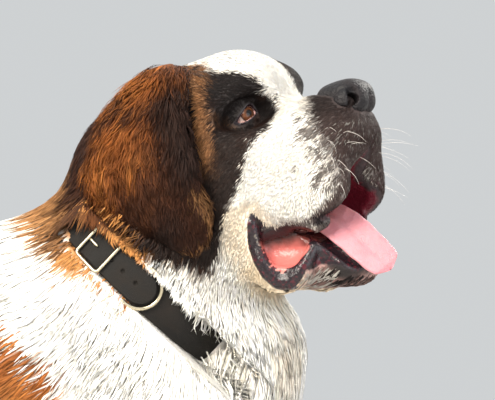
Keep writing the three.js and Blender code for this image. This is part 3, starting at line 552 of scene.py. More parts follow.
def refined(points, faces, near):
    """Splits in two each edge whose middle is near, and the triangles with it."""
    ends = np.sort(faces[:, [[0, 1], [1, 2], [2, 0]]].reshape(-1, 2), 1)
    edges, which = np.unique(ends, axis=0, return_inverse=True)
    middle = points[edges].mean(1)
    split = near(middle)
    number = np.where(split, len(points) + np.cumsum(split) - 1, -1)
    m = number[which.reshape(-1)].reshape(-1, 3)
    made = [faces[(m < 0).all(1)]]
    one, two, every = SPLITS
    for turn, pattern in [(0, one), (0, two), (1, one), (1, two), (2, one), (2, two), (0, every)]:
        turned = np.concatenate([np.roll(faces, -turn, 1), np.roll(m, -turn, 1)], 1)
        chosen = turned[((turned[:, 3:] >= 0) == pattern).all(1)]
        made += [chosen[:, cut] for cut in SPLITS[pattern]]
    return np.concatenate([points, middle[split]]), np.concatenate(made)


# Four ways from a point that are spread evenly
CORNERS = np.array([(1, 1, 1), (1, -1, -1), (-1, 1, -1), (-1, -1, 1)], dtype=float)


def slope_at(distance, points, reach=0.8):
    """The distance at points and its slope, from four samples around each."""
    around = [distance(*(points + corner * reach).T) for corner in CORNERS]
    value = sum(around) / 4
    slope = sum(a[:, None] * corner for a, corner in zip(around, CORNERS)) / (4 * reach)
    return value, slope


def settled(points, distance, most=1.5, reach=0.4):
    """Points moved onto the surface, in rounds that each move a point by no more than most."""
    for _ in range(3):
        value, slope = slope_at(distance, points, reach)
        size = np.maximum(np.linalg.norm(slope, axis=1), 0.2)
        points = points - slope / size[:, None] * np.clip(value / size, -most, most)[:, None]
    return points


def normals_of(points, faces):
    """Unit normals at the points of a triangle mesh."""
    a, b, c = (points[faces[:, i]] for i in range(3))
    face = np.cross(b - a, c - a)
    total = np.zeros_like(points)
    for i in range(3):
        for axis in range(3):
            total[:, axis] += np.bincount(faces[:, i], face[:, axis], len(points))
    return total / np.maximum(np.linalg.norm(total, axis=1), 1e-9)[:, None]


def smooth(low, high, value):
    """0 at low, 1 at high, and a soft curve between."""
    t = np.clip((value - low) / (high - low), 0, 1)
    return t * t * (3 - 2 * t)


def mix(a, b, t):
    """a where t is 0, and b where it is 1."""
    return a + (b - a) * t


def waves_at(points, size, seed):
    """Soft noise between about -1 and 1, whose lumps have a size in millimetres."""
    rng = np.random.default_rng(seed)
    total, weight = 0.0, 0.0
    for scale in (1, 2):
        turns = rng.normal(size=(5, 3))
        turns *= (2 * math.pi * scale / size / 1.6) / np.linalg.norm(turns, axis=1)[:, None]
        angles = points @ turns.T + rng.uniform(0, 2 * math.pi, 5)
        total = total + np.sin(angles + 1.3 * np.sin(angles[:, ::-1] * 0.7)).sum(1) / (2.2 * scale)
        weight += 1 / scale
    return total / weight


# The skin lies under the outline by the coat's depth, and has the face's own folds and openings

GAZE = math.radians(33)  # how far outward the eyes look
LID_AXIS = math.radians(50)  # the way in which the lids' opening is laid out
# The opening between the lids: across, away from the nose, and up.
EYE_OPENING = [
    (12.0, -6.7), (9.0, -3.6), (5.2, -0.3), (0.2, 3.9), (-4.2, 7.0), (-7.4, 7.6), (-9.2, 5.2),
    (-10.8, 1.8), (-12.0, -0.6), (-9.4, -2.8), (-4.2, -5.2), (-0.5, -7.0), (3.5, -8.5), (8.4, -8.7),
]
LID = 1.9  # their thickness


def polygon(corners):
    """The distance to a flat polygon, negative inside."""
    ends = np.array(corners, dtype=float)

    def distance(u, v):
        best = np.full(u.shape, 1e9)
        inside = np.zeros(u.shape, bool)
        for (ax, ay), (bx, by) in zip(ends, np.roll(ends, -1, 0)):
            ex, ey = bx - ax, by - ay
            t = np.clip(((u - ax) * ex + (v - ay) * ey) / (ex * ex + ey * ey), 0, 1)
            best = np.minimum(best, (u - ax - t * ex) ** 2 + (v - ay - t * ey) ** 2)
            side = (ay > v) != (by > v)
            inside ^= side & (u < ax + (v - ay) * ex / (ey if ey else 1e-9))
        return np.where(inside, -1, 1) * np.sqrt(best)

    return distance


lid_gap = polygon(EYE_OPENING)


def eye_place(hx, out, hz):
    """Ahead of the eye's middle along the lids' axis, across it, and up."""
    x, y, z = hx - EYE_AT[0], out - EYE_AT[1], hz - EYE_AT[2]
    c, s = math.cos(LID_AXIS), math.sin(LID_AXIS)
    return x * c + y * s, y * c - x * s, z


# Folds and creases on each side of the head: points, how wide, and how deep.
FOLDS = [
    ([(-14, 66, 4), (-8, 58, 11), (1, 46, 15), (9, 40, 12), (14, 37, 6)], 2.6, 2.2),  # over the upper lid
    ([(-8, 70, -18), (0, 64, -20), (8, 52, -17), (14, 44, -9)], 3.0, 1.8),  # under the lower lid
    ([(1, 38, -2), (8, 34, -2), (15, 34, -7)], 2.2, 2.4),  # the tear line
    ([(-22, 78, -14), (-24, 74, 2), (-14, 66, 18), (0, 56, 24)], 4.0, 1.6),  # the brow
    ([(-30, 86, -30), (-20, 86, -44), (-16, 86, -60)], 5.0, 1.4),
    ([(-34, 74, -108), (-30, 72, -98), (-20, 70, -92), (-8, 66, -88)], 3.6, 2.4),  # the corner of the lips
    ([(64, 32, -12), (70, 32, -24), (74, 34, -34)], 3.0, 1.6),
]
# The middle of the lower lip's black rim, from the corner of the mouth round its pouch, with its half thickness.
LIP = [
    (-22, 65, -108), (-27, 60, -129), (-25, 60, -145), (-22, 58, -158), (-15, 55, -169), (-4, 53, -173),
    (7, 52, -168), (15, 50, -161), (21, 46, -153), (25, 42, -147),
]
CHIN_LIP = [(25, 42, -147), (38, 34, -157), (50, 24, -163), (58, 12, -166), (61, 0, -166)]
# Where the tongue lies on the lower lip
TONGUE_PRESS = [(22, -24, -128), (34, -30, -139), (50, -34, -156), (62, -33, -172)]
# The side view of the lower lip: all its bare black skin, and within that the pink inside of the cheek.
LIP_SKIN = [
    (-19, -97), (-25, -109), (-32, -127), (-33, -144), (-29, -161), (-23, -173), (-12, -181), (1, -181),
    (10, -174), (17, -168), (27, -165), (42, -170), (56, -181), (68, -180), (70, -165), (62, -146), (44, -137),
    (30, -131), (22, -129), (2, -121), (-11, -114), (-16, -100),
]
LIP_INSIDE = [
    (-19, -121), (-21, -130), (-17, -144), (-15, -154), (-7, -162), (4, -158), (10, -155), (17, -149),
    (21, -141), (22, -128), (2, -120), (-12, -114),
]


def near_path(points, x, y, z):
    """The distance to a path through points, and how far along it the nearest point is, from 0 to 1."""
    ends = np.array(points, dtype=float)
    runs = np.linalg.norm(np.diff(ends, axis=0), axis=1)
    best = np.full(x.shape, 1e9)
    along = np.zeros(x.shape)
    done = 0.0
    for a, b, run in zip(ends, ends[1:], runs):
        d = b - a
        t = np.clip(((x - a[0]) * d[0] + (y - a[1]) * d[1] + (z - a[2]) * d[2]) / run ** 2, 0, 1)
        far = (x - a[0] - t * d[0]) ** 2 + (y - a[1] - t * d[1]) ** 2 + (z - a[2] - t * d[2]) ** 2
        closer = far < best
        best = np.where(closer, far, best)
        along = np.where(closer, done + t * run, along)
        done += run
    return np.sqrt(best), along / runs.sum()


def head_depth(hx, out, hz):
    """How deep the coat of the head is: shortest on the face, longer to the back and under the jaw."""
    back = 2.6 * smooth(-25, -70, hx) + 3.5 * smooth(-75, -140, hx)
    return 2.0 + back + 3 * smooth(-150, -195, hz) * smooth(20, -50, hx)


def body_depth(x, y, z):
    """How deep the coat of the body is."""
    deep = np.full(x.shape, 6.5)
    leg = smooth(470, 250, z) * smooth(-440, -430, x)
    deep = mix(deep, 3.5 + 3 * smooth(120, 300, z), leg)
    deep = mix(deep, 3.0, smooth(110, 60, z) * smooth(-440, -430, x))
    tail_like = smooth(-425, -460, x) * smooth(205, 240, z)
    return mix(deep, 7 + 5 * smooth(230, 330, z), tail_like)


lip_skin_side, lip_inside_side = polygon(LIP_SKIN), polygon(LIP_INSIDE)


def face(hx, hy, hz):
    """The skin of the head."""
    out = np.abs(hy)
    d = head(hx, hy, hz) + head_depth(hx, out, hz)
    for path, wide, deep in FOLDS:
        away, along = near_path(path, hx, out, hz)
        d = d + deep * np.exp(-((away / wide) ** 2)) * np.sin(math.pi * np.clip(along, 0.06, 0.94)) ** 0.5
    rim, along = near_path(LIP, hx, out, hz)
    chin, _ = near_path(CHIN_LIP, hx, out, hz)
    d = blend(d, rim - 6.2 - 1.8 * np.sin(math.pi * along), 4)
    d = blend(d, chin - 4.0, 5)
    press, _ = near_path(TONGUE_PRESS, hx, hy, hz)
    d = carve(d, press - 8.5, 4)
    ahead, across, up = eye_place(hx, out, hz)
    globe = np.sqrt(ahead * ahead + across * across + up * up)
    d = blend(d, globe - EYE_RADIUS - LID, 9)
    gap = np.maximum(lid_gap(across, up), -ahead)
    d = carve(d, gap, 1.4)
    haw = np.maximum(globe - EYE_RADIUS - 0.5, np.maximum(across + 9.0 - 0.5 * up, up - 1.2))
    return np.minimum(d, np.maximum(haw, -ahead))


# The ear's relief in its side view: a path along and up, its width, and how far it stands out.
# Below zero it sinks in.
EAR_RELIEF = [
    ([(-50, 62), (-52, 40), (-53, 10), (-51, -20), (-55, -48)], 5.0, 2.6),  # the roll along the front edge
    ([(-58, 60), (-80, 60), (-102, 50)], 8.0, 3.0),  # the root
    ([(-60, 34), (-76, 32), (-96, 38)], 7.0, -3.6),  # the hollow under the root
    ([(-56, -58), (-51, -86), (-57, -106), (-76, -115), (-92, -106)], 4.0, 1.8),  # the lobe's rim
    ([(-70, -70), (-66, -92), (-76, -104)], 8.0, -1.8),
    ([(-88, 14), (-98, -30), (-102, -80)], 6.0, 1.8),
    ([(-72, 14), (-74, -20), (-78, -56)], 7.0, -2.0),
    ([(-112, 20), (-124, -20), (-122, -60)], 7.0, -2.0),
]
EAR_SLIM = 3.0  # how far its skin lies inside its coat


def ear_relief(hx, hz):
    """How far the ear's skin stands out at a place of its side view."""
    high = np.zeros(hx.shape)
    for path, wide, tall in EAR_RELIEF:
        away, along = near_path([(x, 0, z) for x, z in path], hx, 0 * hx, hz)
        high = high + tall * np.exp(-((away / wide) ** 2))
    return high


def near_head(hx, hy, hz):
    return np.sqrt((hx + 10) ** 2 + hy ** 2 + (hz + 45) ** 2) < 250


THROAT_WALL = 60  # how steeply the skin closes over the band under the throat, in mm to a degree


def under_collar(x, y, z):
    """Where the collar lies, which the skin stays below."""
    across, angle, high = collar_place(x, y, z)
    nape = (angle - GROOVE["nape"]) * GROOVE["cover"]
    throat = (GROOVE["throat"] - 1 - angle) * THROAT_WALL
    covered = np.maximum(np.maximum(nape, throat), 0)
    return np.maximum(np.abs(across) - COLLAR_WIDTH / 2 - 1, covered - 1.5 - high)


def skin(x, y, z):
    """The distance to the skin, with the ears on it."""
    hx, hy, hz = to_head(x, y, z)
    d = body(x, y, z, False) + body_depth(x, y, z)
    d = carve(d, under_collar(x, y, z), 3)
    close = near_head(hx, hy, hz)
    shown = np.full(d.shape, FAR)
    ear = np.full(d.shape, FAR)
    if close.any():
        shown[close] = face(hx[close], hy[close], hz[close])
        a, b, c = hx[close], hy[close], hz[close]
        flap = ear_flap(a, b, c, EAR_SLIM)
        by = flap < 14
        flap[by] -= ear_relief(a[by], c[by]) * smooth(90, 104, np.abs(b[by]))
        ear[close] = flap
    return blend(blend(d, shown, 34), ear, 8)


# The grid in x, y and z: where it starts, and then each stretch's end and step. It is finest at the head.
SKIN_GRID = [
    (-560, [(296, 8.6), (576, 2.6)]),
    (-204, [(-176, 8), (62, 2.6), (204, 8.6)]),
    (-7, [(70, 5.4), (690, 8.6), (986, 2.6)]),
]
SOLE = 0.8  # the skin's height over the floor


def skin_mesh():
    """The skin, with finer triangles round the eyes, the lips and most of all the lids' edges."""
    points, quads = surface(skin, *(lines(*grid) for grid in SKIN_GRID))
    faces = triangles(points, quads)

    def face_near(p):
        hx, hy, hz = to_head(*p.T)
        out = np.abs(hy)
        eye = np.linalg.norm(np.stack([hx, out, hz], 1) - EYE_AT, axis=1) < 34
        lip = near_path(LIP + CHIN_LIP[1:], hx, out, hz)[0] < 14
        return eye | lip

    points, faces = refined(points, faces, face_near)
    points = settled(points, skin)

    def lids_near(p):
        hx, hy, hz = to_head(*p.T)
        ahead, across, up = eye_place(hx, np.abs(hy), hz)
        return (ahead > -2) & (ahead < 26) & (np.abs(lid_gap(across, up)) < 5)

    points, faces = refined(points, faces, lids_near)
    points = settled(points, skin, 0.8, 0.25)
    points[:, 2] = np.maximum(points[:, 2], SOLE)
    return points, faces


# Markings: where the coat is white, rust-red, dark or tan, and the colours of bare skin


def rgb(*values):
    """A colour as screens name it, from 0 to 255, made linear as the shader wants it."""
    c = np.array(values) / 255
    return np.where(c <= 0.04045, c / 12.92, ((c + 0.055) / 1.055) ** 2.4)


WHITE = rgb(250, 246, 238)
CREAM = rgb(228, 206, 172)
RUST = rgb(150, 85, 36)
ORANGE = rgb(182, 112, 52)
TAN = rgb(182, 132, 84)
GOLD_HAIR = rgb(196, 136, 76)
BROWN = rgb(62, 34, 19)
BLACK = rgb(31, 25, 24)
CHEEK = rgb(52, 42, 38)
STRIP = rgb(178, 126, 82)
GREY = rgb(80, 66, 63)
PALE_SKIN = rgb(214, 168, 158)
LIP_BLACK = rgb(30, 22, 26)
GUM = rgb(206, 110, 103)
MAROON = rgb(92, 24, 36)
HAW = rgb(226, 176, 170)
# Painted shade inside the mouth, under the upper lip
SHADED_GUM = rgb(96, 46, 40)
MOUTH_TOP_SHADOW = rgb(22, 14, 14)
LIP_INNER = LIP_BLACK * (1 - 0.4) + rgb(60, 40, 40) * 0.4

# Outlines of the markings in the head's side view, along and up.
PATCH = [
    (25, 1), (26, -6), (23, -13), (24, -23), (17, -28), (8, -32), (1, -41), (-4, -50), (-12, -63), (-22, -76),
    (-32, -88), (-41, -99), (-52, -114), (-60, -126), (-76, -132), (-92, -122), (-106, -104), (-150, -60),
    (-150, 110), (-46, 110), (-40, 70), (-27, 53), (-17, 45), (1, 38), (14, 34), (19, 28), (19, 20), (20, 14),
    (23, 7),
]
NAPE = [
    (-60, -100), (-74, -138), (-89, -132), (-97, -112), (-108, -101), (-117, -106), (-124, -120), (-134, -146),
    (-152, -136), (-172, -112), (-182, -92), (-206, -64), (-222, -42), (-244, -24), (-262, 60), (-60, 90),
]
GOLD = [
    (-160, -30), (-178, -74), (-172, -118), (-136, -150), (-118, -130), (-98, -106), (-100, -84), (-116, -62),
    (-138, -40),
]
MUZZLE = [
    (52, -1), (60, -14), (67, -29), (71, -48), (72, -63), (74, -80), (74, -98), (70, -116), (64, -135),
    (130, -150), (130, 30), (64, 12),
]
# The blaze on top of the head: along, and half its width
BLAZE = [(-110, 8), (-90, 18), (-60, 30), (-37, 37), (-24, 24), (-12, 0)]
# On the left side it is narrower over the eye.
BLAZE_LEFT = [(-60, 30), (-37, 36), (-20, 34), (0, 25), (14, 13), (26, 9), (31, 20), (34, 60)]
# The edge of the upper lip, the gap in front of the ear, which is darkened as painted shade, and the ear's front
# rim, as paths in that view
UPPER_LIP = [
    (95, -65), (87, -75), (82, -90), (77, -100), (69, -107), (58, -113), (45, -119), (35, -123), (22, -122),
    (4, -114), (-9, -106), (-13, -94),
]
EAR_GAP_SHADE = [(-41, 58), (-42, 40), (-44, 20), (-48, -8)]
EAR_RIM = [(-50, -48), (-49, -68), (-46, -92), (-53, -110), (-68, -118), (-92, -112)]
# The mantle in the body's side view.
MANTLE = [
    (160, 790), (172, 724), (202, 700), (248, 672), (246, 616), (196, 548), (90, 506), (-40, 482), (-170, 500),
    (-235, 540), (-285, 480), (-345, 452), (-392, 500), (-560, 480), (-560, 800),
]
patch_side, nape_side, gold_side, muzzle_side, mantle_side = map(polygon, (PATCH, NAPE, GOLD, MUZZLE, MANTLE))


def tinted(colour, other, t):
    """A colour, or one for each point, mixed into another by a share for each point."""
    t = np.asarray(t)[..., None]
    return colour * (1 - t) + other * t


def by_head(hx, hy, hz, reach):
    """1 on the head and about it, and 0 further away than the reach."""
    return smooth(20, 60, reach - np.sqrt((hx + 60) ** 2 + hy ** 2 + (hz + 20) ** 2))


def off_path(path, hx, hz):
    """How far a place of the head's side view is from a path in it."""
    return near_path([(x, 0, z) for x, z in path], hx, 0 * hx, hz)[0]


def upper_lip_edge(hx, out, hz):
    """How far a point of the cheek is from the edge of the upper lip."""
    return np.where(out > 8, off_path(UPPER_LIP, hx, hz), FAR)


def half_blaze(rows, hx):
    """Half the blaze's width."""
    return np.interp(hx, *zip(*rows))


def markings(p, ear):
    """The coat's colour at points, given how far each lies on an ear, from 0 to 1."""
    w1, w2 = waves_at(p, 22, 5), waves_at(p, 7, 6)
    w3 = waves_at(p, 46, 7)
    hx, hy, hz = to_head(*p.T)
    out = np.abs(hy)
    edge = 1.5 * w1 + 1.2 * w2  # how far each marking's edge wanders
    # The body
    mantle = mantle_side(p[:, 0], p[:, 2]) + edge * 4
    body_red = tinted(ORANGE, RUST, smooth(-0.6, 0.7, w3))
    body_red = tinted(body_red, BROWN, 0.75 * smooth(700, 790, p[:, 2] + 26 * w3) * smooth(190, 60, p[:, 0]))
    body_red = tinted(body_red, BROWN, 0.3 * smooth(0.2, 1.0, w1))
    tail_white = smooth(345, 300, p[:, 2] + 12 * w1) * smooth(-440, -450, p[:, 0])
    tail_red = smooth(-432, -446, p[:, 0]) * smooth(205, 215, p[:, 2])
    on_body = np.maximum(smooth(5, -5, mantle), tail_red) * (1 - tail_white)
    colour = tinted(WHITE, body_red, on_body)
    # The neck and the back of the head
    near = by_head(hx, hy, hz, 330)
    nape = smooth(6, -6, nape_side(hx, hz) + edge * 2.2) * near * smooth(-46, -58, hx)
    nape_colour = tinted(RUST, BROWN, smooth(-1.6, -0.6, w3 + 0.5 * w1))
    nape_colour = tinted(nape_colour, TAN, smooth(-172, -204, hx + 8 * w1) * smooth(40, 10, hz))
    across, angle, _ = collar_place(*p.T)
    below = smooth(-4, -12, across) * smooth(114, 106, angle + 3 * w1)
    nape = nape * (1 - below)
    gold = smooth(6, -6, gold_side(hx, hz) + edge * 2)
    nape_colour = tinted(nape_colour, tinted(GOLD_HAIR, RUST, smooth(0.1, 0.9, w2)), gold)
    colour = tinted(colour, nape_colour, nape)
    side = np.sqrt(((hx + 178) / 20) ** 2 + ((hz + 84) / 18) ** 2)
    colour = tinted(colour, GOLD_HAIR, 0.95 * smooth(1.4, 0.8, side + 0.3 * w1) * near * (1 - below))
    # The dark patch round each eye and down the cheek
    patch = np.maximum(patch_side(hx, hz), half_blaze(BLAZE, hx) - out - 80 * smooth(10, -20, hz))
    left = np.maximum(half_blaze(BLAZE_LEFT, hx) - out, 100 * smooth(0, -12, hz) - 10)
    left = left + 200 * (hy < 0) + 100 * smooth(31, 36, hx)
    patch = np.minimum(patch, left)
    patch = smooth(2.5, -2.5, patch + edge) * near * smooth(-128, -108, hx)
    dark = tinted(BLACK, CHEEK, smooth(-6, -34, hz + 6 * w1))
    dark = tinted(dark, BROWN, 0.4 * smooth(0.0, 1.0, w1))
    strip = smooth(-22, -38, hx + 4 * w1) * smooth(-60, -25, hz)
    dark = tinted(dark, tinted(STRIP, BLACK, 0.5 * smooth(0, 0.9, w2)), 0.95 * strip)
    # Painted shade in the gap in front of the ear
    dark = tinted(dark, BLACK * 0.5, smooth(6, 2.5, off_path(EAR_GAP_SHADE, hx, hz)))
    colour = tinted(colour, dark, patch)
    # The muzzle's dark front, and the chin
    front = muzzle_side(hx, hz) + edge * 1.5
    # Clustered specks on the white beside the dark front
    field = waves_at(p, 11, 31) + 0.9 * w2 + 0.5 * waves_at(p, 3.5, 32)
    specks = smooth(24, 44, hx + 6 * w1) * smooth(-132, -112, hz) * smooth(-8, -22, hz)
    close_to = smooth(-34, -4, -front)
    mottle = smooth(1.25 - 1.5 * close_to, 1.7 - 1.5 * close_to, field) * specks
    colour = tinted(colour, GREY * 0.7 + BLACK * 0.3, 0.8 * mottle)
    front = smooth(7, -7, front) * smooth(-160, -140, hz)
    colour = tinted(colour, tinted(GREY, BLACK, 0.75 * smooth(-45, -15, hz)), front)
    jaw = smooth(-128, -140, hz - 0.12 * (hx - 20)) * smooth(-60, -40, hx)
    colour = tinted(colour, CREAM, jaw * smooth(30, 10, hx) * 0.8)
    colour = tinted(colour, tinted(PALE_SKIN, GREY, 0.6 + 0.3 * w2), jaw * smooth(6, 20, hx))
    colour = tinted(colour, BLACK, jaw * smooth(30, 42, hx + 4 * w1) * smooth(-190, -178, hz + 3 * w1))
    # The upper lip turns grey at its edge, black at its tip and cream at the fold over its corner
    grey = (1 - jaw) * smooth(9, 2, upper_lip_edge(hx, out, hz) + 2 * w2) * smooth(-40, 50, hx)
    colour = tinted(colour, GREY, grey)
    tip = smooth(-118, -122, hz - 0.2 * (hx - 40)) * smooth(34, 40, hx)
    colour = tinted(colour, LIP_BLACK, tip * (1 - jaw))
    fold = smooth(-60, -40, hx) * smooth(0, -14, hx) * smooth(-80, -92, hz) * (1 - jaw)
    colour = tinted(colour, CREAM, 0.6 * fold * (1 - patch))
    # The ears: rusty above and behind, dark on the lower lobe, with a tan rim in front, and painted shade in their
    # hollows and along their front edge
    low = smooth(38, -58, hz - 0.25 * (hx + 90) + 14 * w1)
    ear_colour = tinted(RUST, ORANGE, 0.7 * smooth(-0.1, 0.9, w1 + 0.3 * w2))
    ear_colour = tinted(ear_colour, ORANGE, 0.5 * smooth(30, 62, hz) * smooth(-60, -84, hx))
    ear_colour = tinted(ear_colour, BROWN, 0.85 * smooth(0.2, 1.0, w3 - 0.4 * w2))
    ear_colour = tinted(ear_colour, BROWN, low)
    ear_colour = tinted(ear_colour, BLACK, 0.65 * smooth(-50, -95, hz + 10 * w1))
    # Painted shade where the ear's relief sinks in, and in a band along its front edge
    sunk_shade = smooth(-1.5, -3.2, ear_relief(hx, hz)) * smooth(10, 24, hz)
    sunk_shade = np.maximum(sunk_shade, 0.75 * smooth(-66, -55, hx) * smooth(24, 4, hz + 8 * w2) * smooth(-80, -50, hz))
    ear_colour = tinted(ear_colour, BROWN, 0.85 * sunk_shade)
    fore = smooth(-88, -64, hx + 9 * w1 + 5 * w2) * smooth(60, 44, hz + 6 * w2)
    ear_colour = tinted(ear_colour, BROWN, 0.95 * fore)
    ear_colour = tinted(ear_colour, BLACK, 0.6 * smooth(-70, -56, hx + 5 * w2) * smooth(-50, -20, hz))
    ear_colour = tinted(ear_colour, TAN, 0.55 * smooth(3.4, 1.2, off_path(EAR_RIM, hx, hz) + 0.6 * w2))
    return tinted(colour, ear_colour, ear)


def bare_skin(p, normals, colour):
    """The colour and wetness of the skin itself: that of the coat, but for the lips, the lids and the mouth, whose
    inside has painted shade.
    """
    hx, hy, hz = to_head(*p.T)
    i = np.nonzero(near_head(hx, hy, hz) & (hx > -60))[0]
    x, y, z = hx[i], hy[i], hz[i]
    o = np.abs(y)
    w1, w2 = waves_at(p, 9, 21)[i], waves_at(p, 3.2, 22)[i]

    def hollow(a, b, c):
        split = np.where(c > -126, lip_split(a, np.abs(b), c), FAR)
        return np.minimum(np.minimum(mouth(a, b, c), split), lip_opening(a, np.abs(b), c))

    # The mouth's inside is where the skin faces into its hollow
    value, slope = slope_at(hollow, np.stack([x, y, z], 1))
    turned = np.stack(to_head(*(normals[i] + HEAD_AT).T), 1)
    inward = -(turned * slope).sum(1) / np.maximum(np.linalg.norm(slope, axis=1), 0.2)
    inner = smooth(0.0, 0.35, inward) * smooth(9, 5, value) * smooth(-40, -60, z)
    hull = with_sides(SKULL_MIDDLE, SKULL_SIDES, x, y, z)
    margin = smooth(-8, -5, hull + 1.5 * w1) * smooth(-128, -122, z)
    # Painted shade in the mouth: the cheek's inside turns darker and browner towards the top, under the upper
    # flew, and near black at the very top
    flew_shade = smooth(-149, -130, z + 0.25 * x + 3 * w1)
    cheek = tinted(GUM, SHADED_GUM, flew_shade)
    cheek = tinted(cheek, MOUTH_TOP_SHADOW, smooth(-135, -125, z + 1.5 * w1))
    found = tinted(colour[i], tinted(MAROON, cheek, smooth(-118, -128, z)), inner)
    found = tinted(found, LIP_INNER, inner * margin)
    # The lower lip
    low = smooth(20, 28, o + np.maximum(x - 24, 0)) * smooth(0, 0.2, -inward + 0.9)
    rim = smooth(0.8, -0.8, lip_skin_side(x, z) + 0.5 * w2) * low
    ragged = 2.2 * w2 + 1.2 * w1
    inside = smooth(1.0, -1.0, lip_inside_side(x, z) + ragged) * smooth(-112, -118, z)
    inside = inside * smooth(3.5, 6.5, near_path(LIP, x, o, z)[0] + ragged)
    black = tinted(LIP_BLACK, MAROON, 0.55 * smooth(0.3, 0.9, w2))
    found = tinted(found, black, rim * (1 - inside))
    found = tinted(found, cheek, rim * inside)
    # The lids' edges, and the haw in the corner of the eye
    ahead, across, up = eye_place(x, o, z)
    gap = lid_gap(across, up)
    globe = np.sqrt(ahead ** 2 + across ** 2 + up ** 2)
    lids = smooth(2.4, 0.8, gap) * smooth(0, 2, ahead) * smooth(24, 20, globe)
    found = tinted(found, LIP_BLACK, lids)
    haw = lids * smooth(EYE_RADIUS + 1.3, EYE_RADIUS + 0.8, globe) * smooth(0.2, -0.4, gap)
    found = tinted(found, HAW, haw)
    result, wet = colour.copy(), np.zeros(len(p))
    result[i] = found
    wet[i] = np.maximum(np.maximum(inner * (1 - 0.6 * margin), rim), lids)
    return result, wet


def ear_share(p):
    """How far points lie on an ear, from 0 to 1."""
    hx, hy, hz = to_head(*p.T)
    close = near_head(hx, hy, hz)
    share = np.zeros(len(p))
    a, b, c = hx[close], hy[close], hz[close]
    flap = ear_flap(a, b, c, EAR_SLIM)
    rest = head(a, b, c) + head_depth(a, np.abs(b), c)
    here = p[close].T
    rest = np.minimum(rest, body(*here) + body_depth(*here))
    share[close] = smooth(-3, 3, rest - flap) * smooth(24, 12, flap)
    return share


# The coat: thin solid tufts that grow from the skin and lie along it

HEAD_AXES = np.array([np.array(from_head(*axis)) - HEAD_AT for axis in np.eye(3)])


def unit(v):
    """Ways made one long."""
    return v / np.maximum(np.linalg.norm(v, axis=-1, keepdims=True), 1e-9)


def toward(base, way, share):
    """A way mixed into others by a share for each point."""
    return base + (np.asarray(way, float) - base) * np.asarray(share)[:, None]


def lie(p, n, ear):
    """The way the hair lies, along the skin."""
    x, y, z = p.T
    hx, hy, hz = to_head(x, y, z)
    side = np.sign(hy)
    # The body: back and down, down on chest and legs, and forward on the feet
    d = toward((-0.82, 0.0, -0.58), (-0.5, 0, -0.86), smooth(180, 280, x) * smooth(460, 560, z))
    d = toward(d, (0.02, 0, -1), smooth(300, 370, x) * smooth(900, 760, z))
    legs = smooth(470, 390, z) * smooth(-440, -430, x)
    d = toward(d, (-0.12, 0, -1), legs)
    d = toward(d, (-0.5, 0, -0.87), legs * smooth(0.1, -0.6, n[:, 0]) * smooth(90, 160, z))
    d = toward(d, (0.9, 0, -0.42), smooth(80, 52, z) * smooth(-440, -430, x))
    d = toward(d, (-0.35, 0, -0.94), smooth(-420, -450, x) * smooth(720, 660, z))
    d[:, 1] += 0.12 * np.sign(y) * smooth(-440, -470, x)
    # The head, in its own frame: back from the nose, up over the brow, down on lips and cheeks
    h = toward((-0.82, 0.0, -0.42), (-0.62, 0, -0.78), smooth(-15, -60, hx) * smooth(20, -10, hz))
    up = np.stack([np.full(len(p), -0.8), 0.3 * side, np.full(len(p), 0.55)], 1)
    h = toward(h, up, smooth(4, 24, hz) * smooth(-60, -20, hx))
    h = toward(h, (-0.95, 0, 0.05), smooth(44, 60, hz))
    h = toward(h, (-0.12, 0, -1), smooth(-84, -112, hz) * smooth(-30, -5, hx) * smooth(-140, -128, hz))
    h = toward(h, (-0.85, 0, -0.45), smooth(-140, -152, hz) * smooth(-40, 0, hx))
    h = toward(h, (-0.5, 0, -0.85), smooth(-30, -70, hx) * smooth(-90, -120, hz))
    # Away from the eye, all round it
    around = np.stack([hx - EYE_AT[0], np.abs(hy) - EYE_AT[1] - 6, hz - EYE_AT[2]], 1)
    away = unit(around * (1, 0.4, 1))
    away[:, 1] *= side
    h = toward(h, h * 0.4 + away, smooth(26, 14, np.linalg.norm(around, axis=1)) * 0.8)
    h = toward(h @ HEAD_AXES, np.array([-0.75, 0.0, -0.66]) @ HEAD_AXES, smooth(-70, -115, hx))
    near = by_head(hx, hy, hz, 300) * smooth(-205, -175, hz)
    near = np.minimum(near, smooth(-235, -180, hx))
    d = toward(d, h, near)
    # The ears: down, and back from their front edge on
    e = toward((-0.16, 0.0, -1.0), (-0.85, 0, -0.62), smooth(-45, 45, hz) * smooth(-50, -100, hx))
    e = toward(e, (0.12, 0, -1), smooth(-60, -95, hz) * smooth(-80, -60, hx))
    d = toward(d, e @ HEAD_AXES, ear)
    d = d - n * (d * n).sum(1, keepdims=True)
    return unit(d)


# The coat's regions: tufts to a square centimetre, their length and width, how far they stand up as a share
# of the coat's depth, how far they wave, and how far they gather in locks
TUFTS = {
    "trunk": (3.9, 60, 3.6, 0.75, 2.4, 0.5),
    "neck": (12.0, 56, 2.0, 0.6, 2.6, 0.5),
    "leg": (4.0, 31, 3.3, 1.0, 1.2, 0.4),
    "back of leg": (4.0, 50, 3.6, 1.25, 2.4, 0.5),
    "foot": (9, 13, 2.2, 1.0, 0.3, 0.2),
    "belly": (3.2, 60, 4.2, 1.2, 3.0, 0.6),
    "tail": (6.0, 78, 3.6, 1.1, 4.0, 0.6),
    "behind head": (12, 36, 2.2, 1.0, 2.6, 0.6),
    "skull": (26, 16, 1.4, 0.7, 0.5, 0.25),
    "face": (42, 8.5, 1.1, 0.55, 0.2, 0.15),
    "lip": (48, 4.5, 0.9, 0.5, 0.1, 0.0),
    "eye": (60, 5.0, 0.9, 0.5, 0.1, 0.0),
    "gold": (18, 40, 1.6, 1.2, 5.0, 0.6),
    "ear": (30, 36, 1.15, 1.1, 4.5, 0.65),
    "lobe": (38, 17, 1.0, 0.8, 1.0, 0.4),
    "back of ear": (27, 44, 1.3, 1.2, 6.0, 0.8),
}


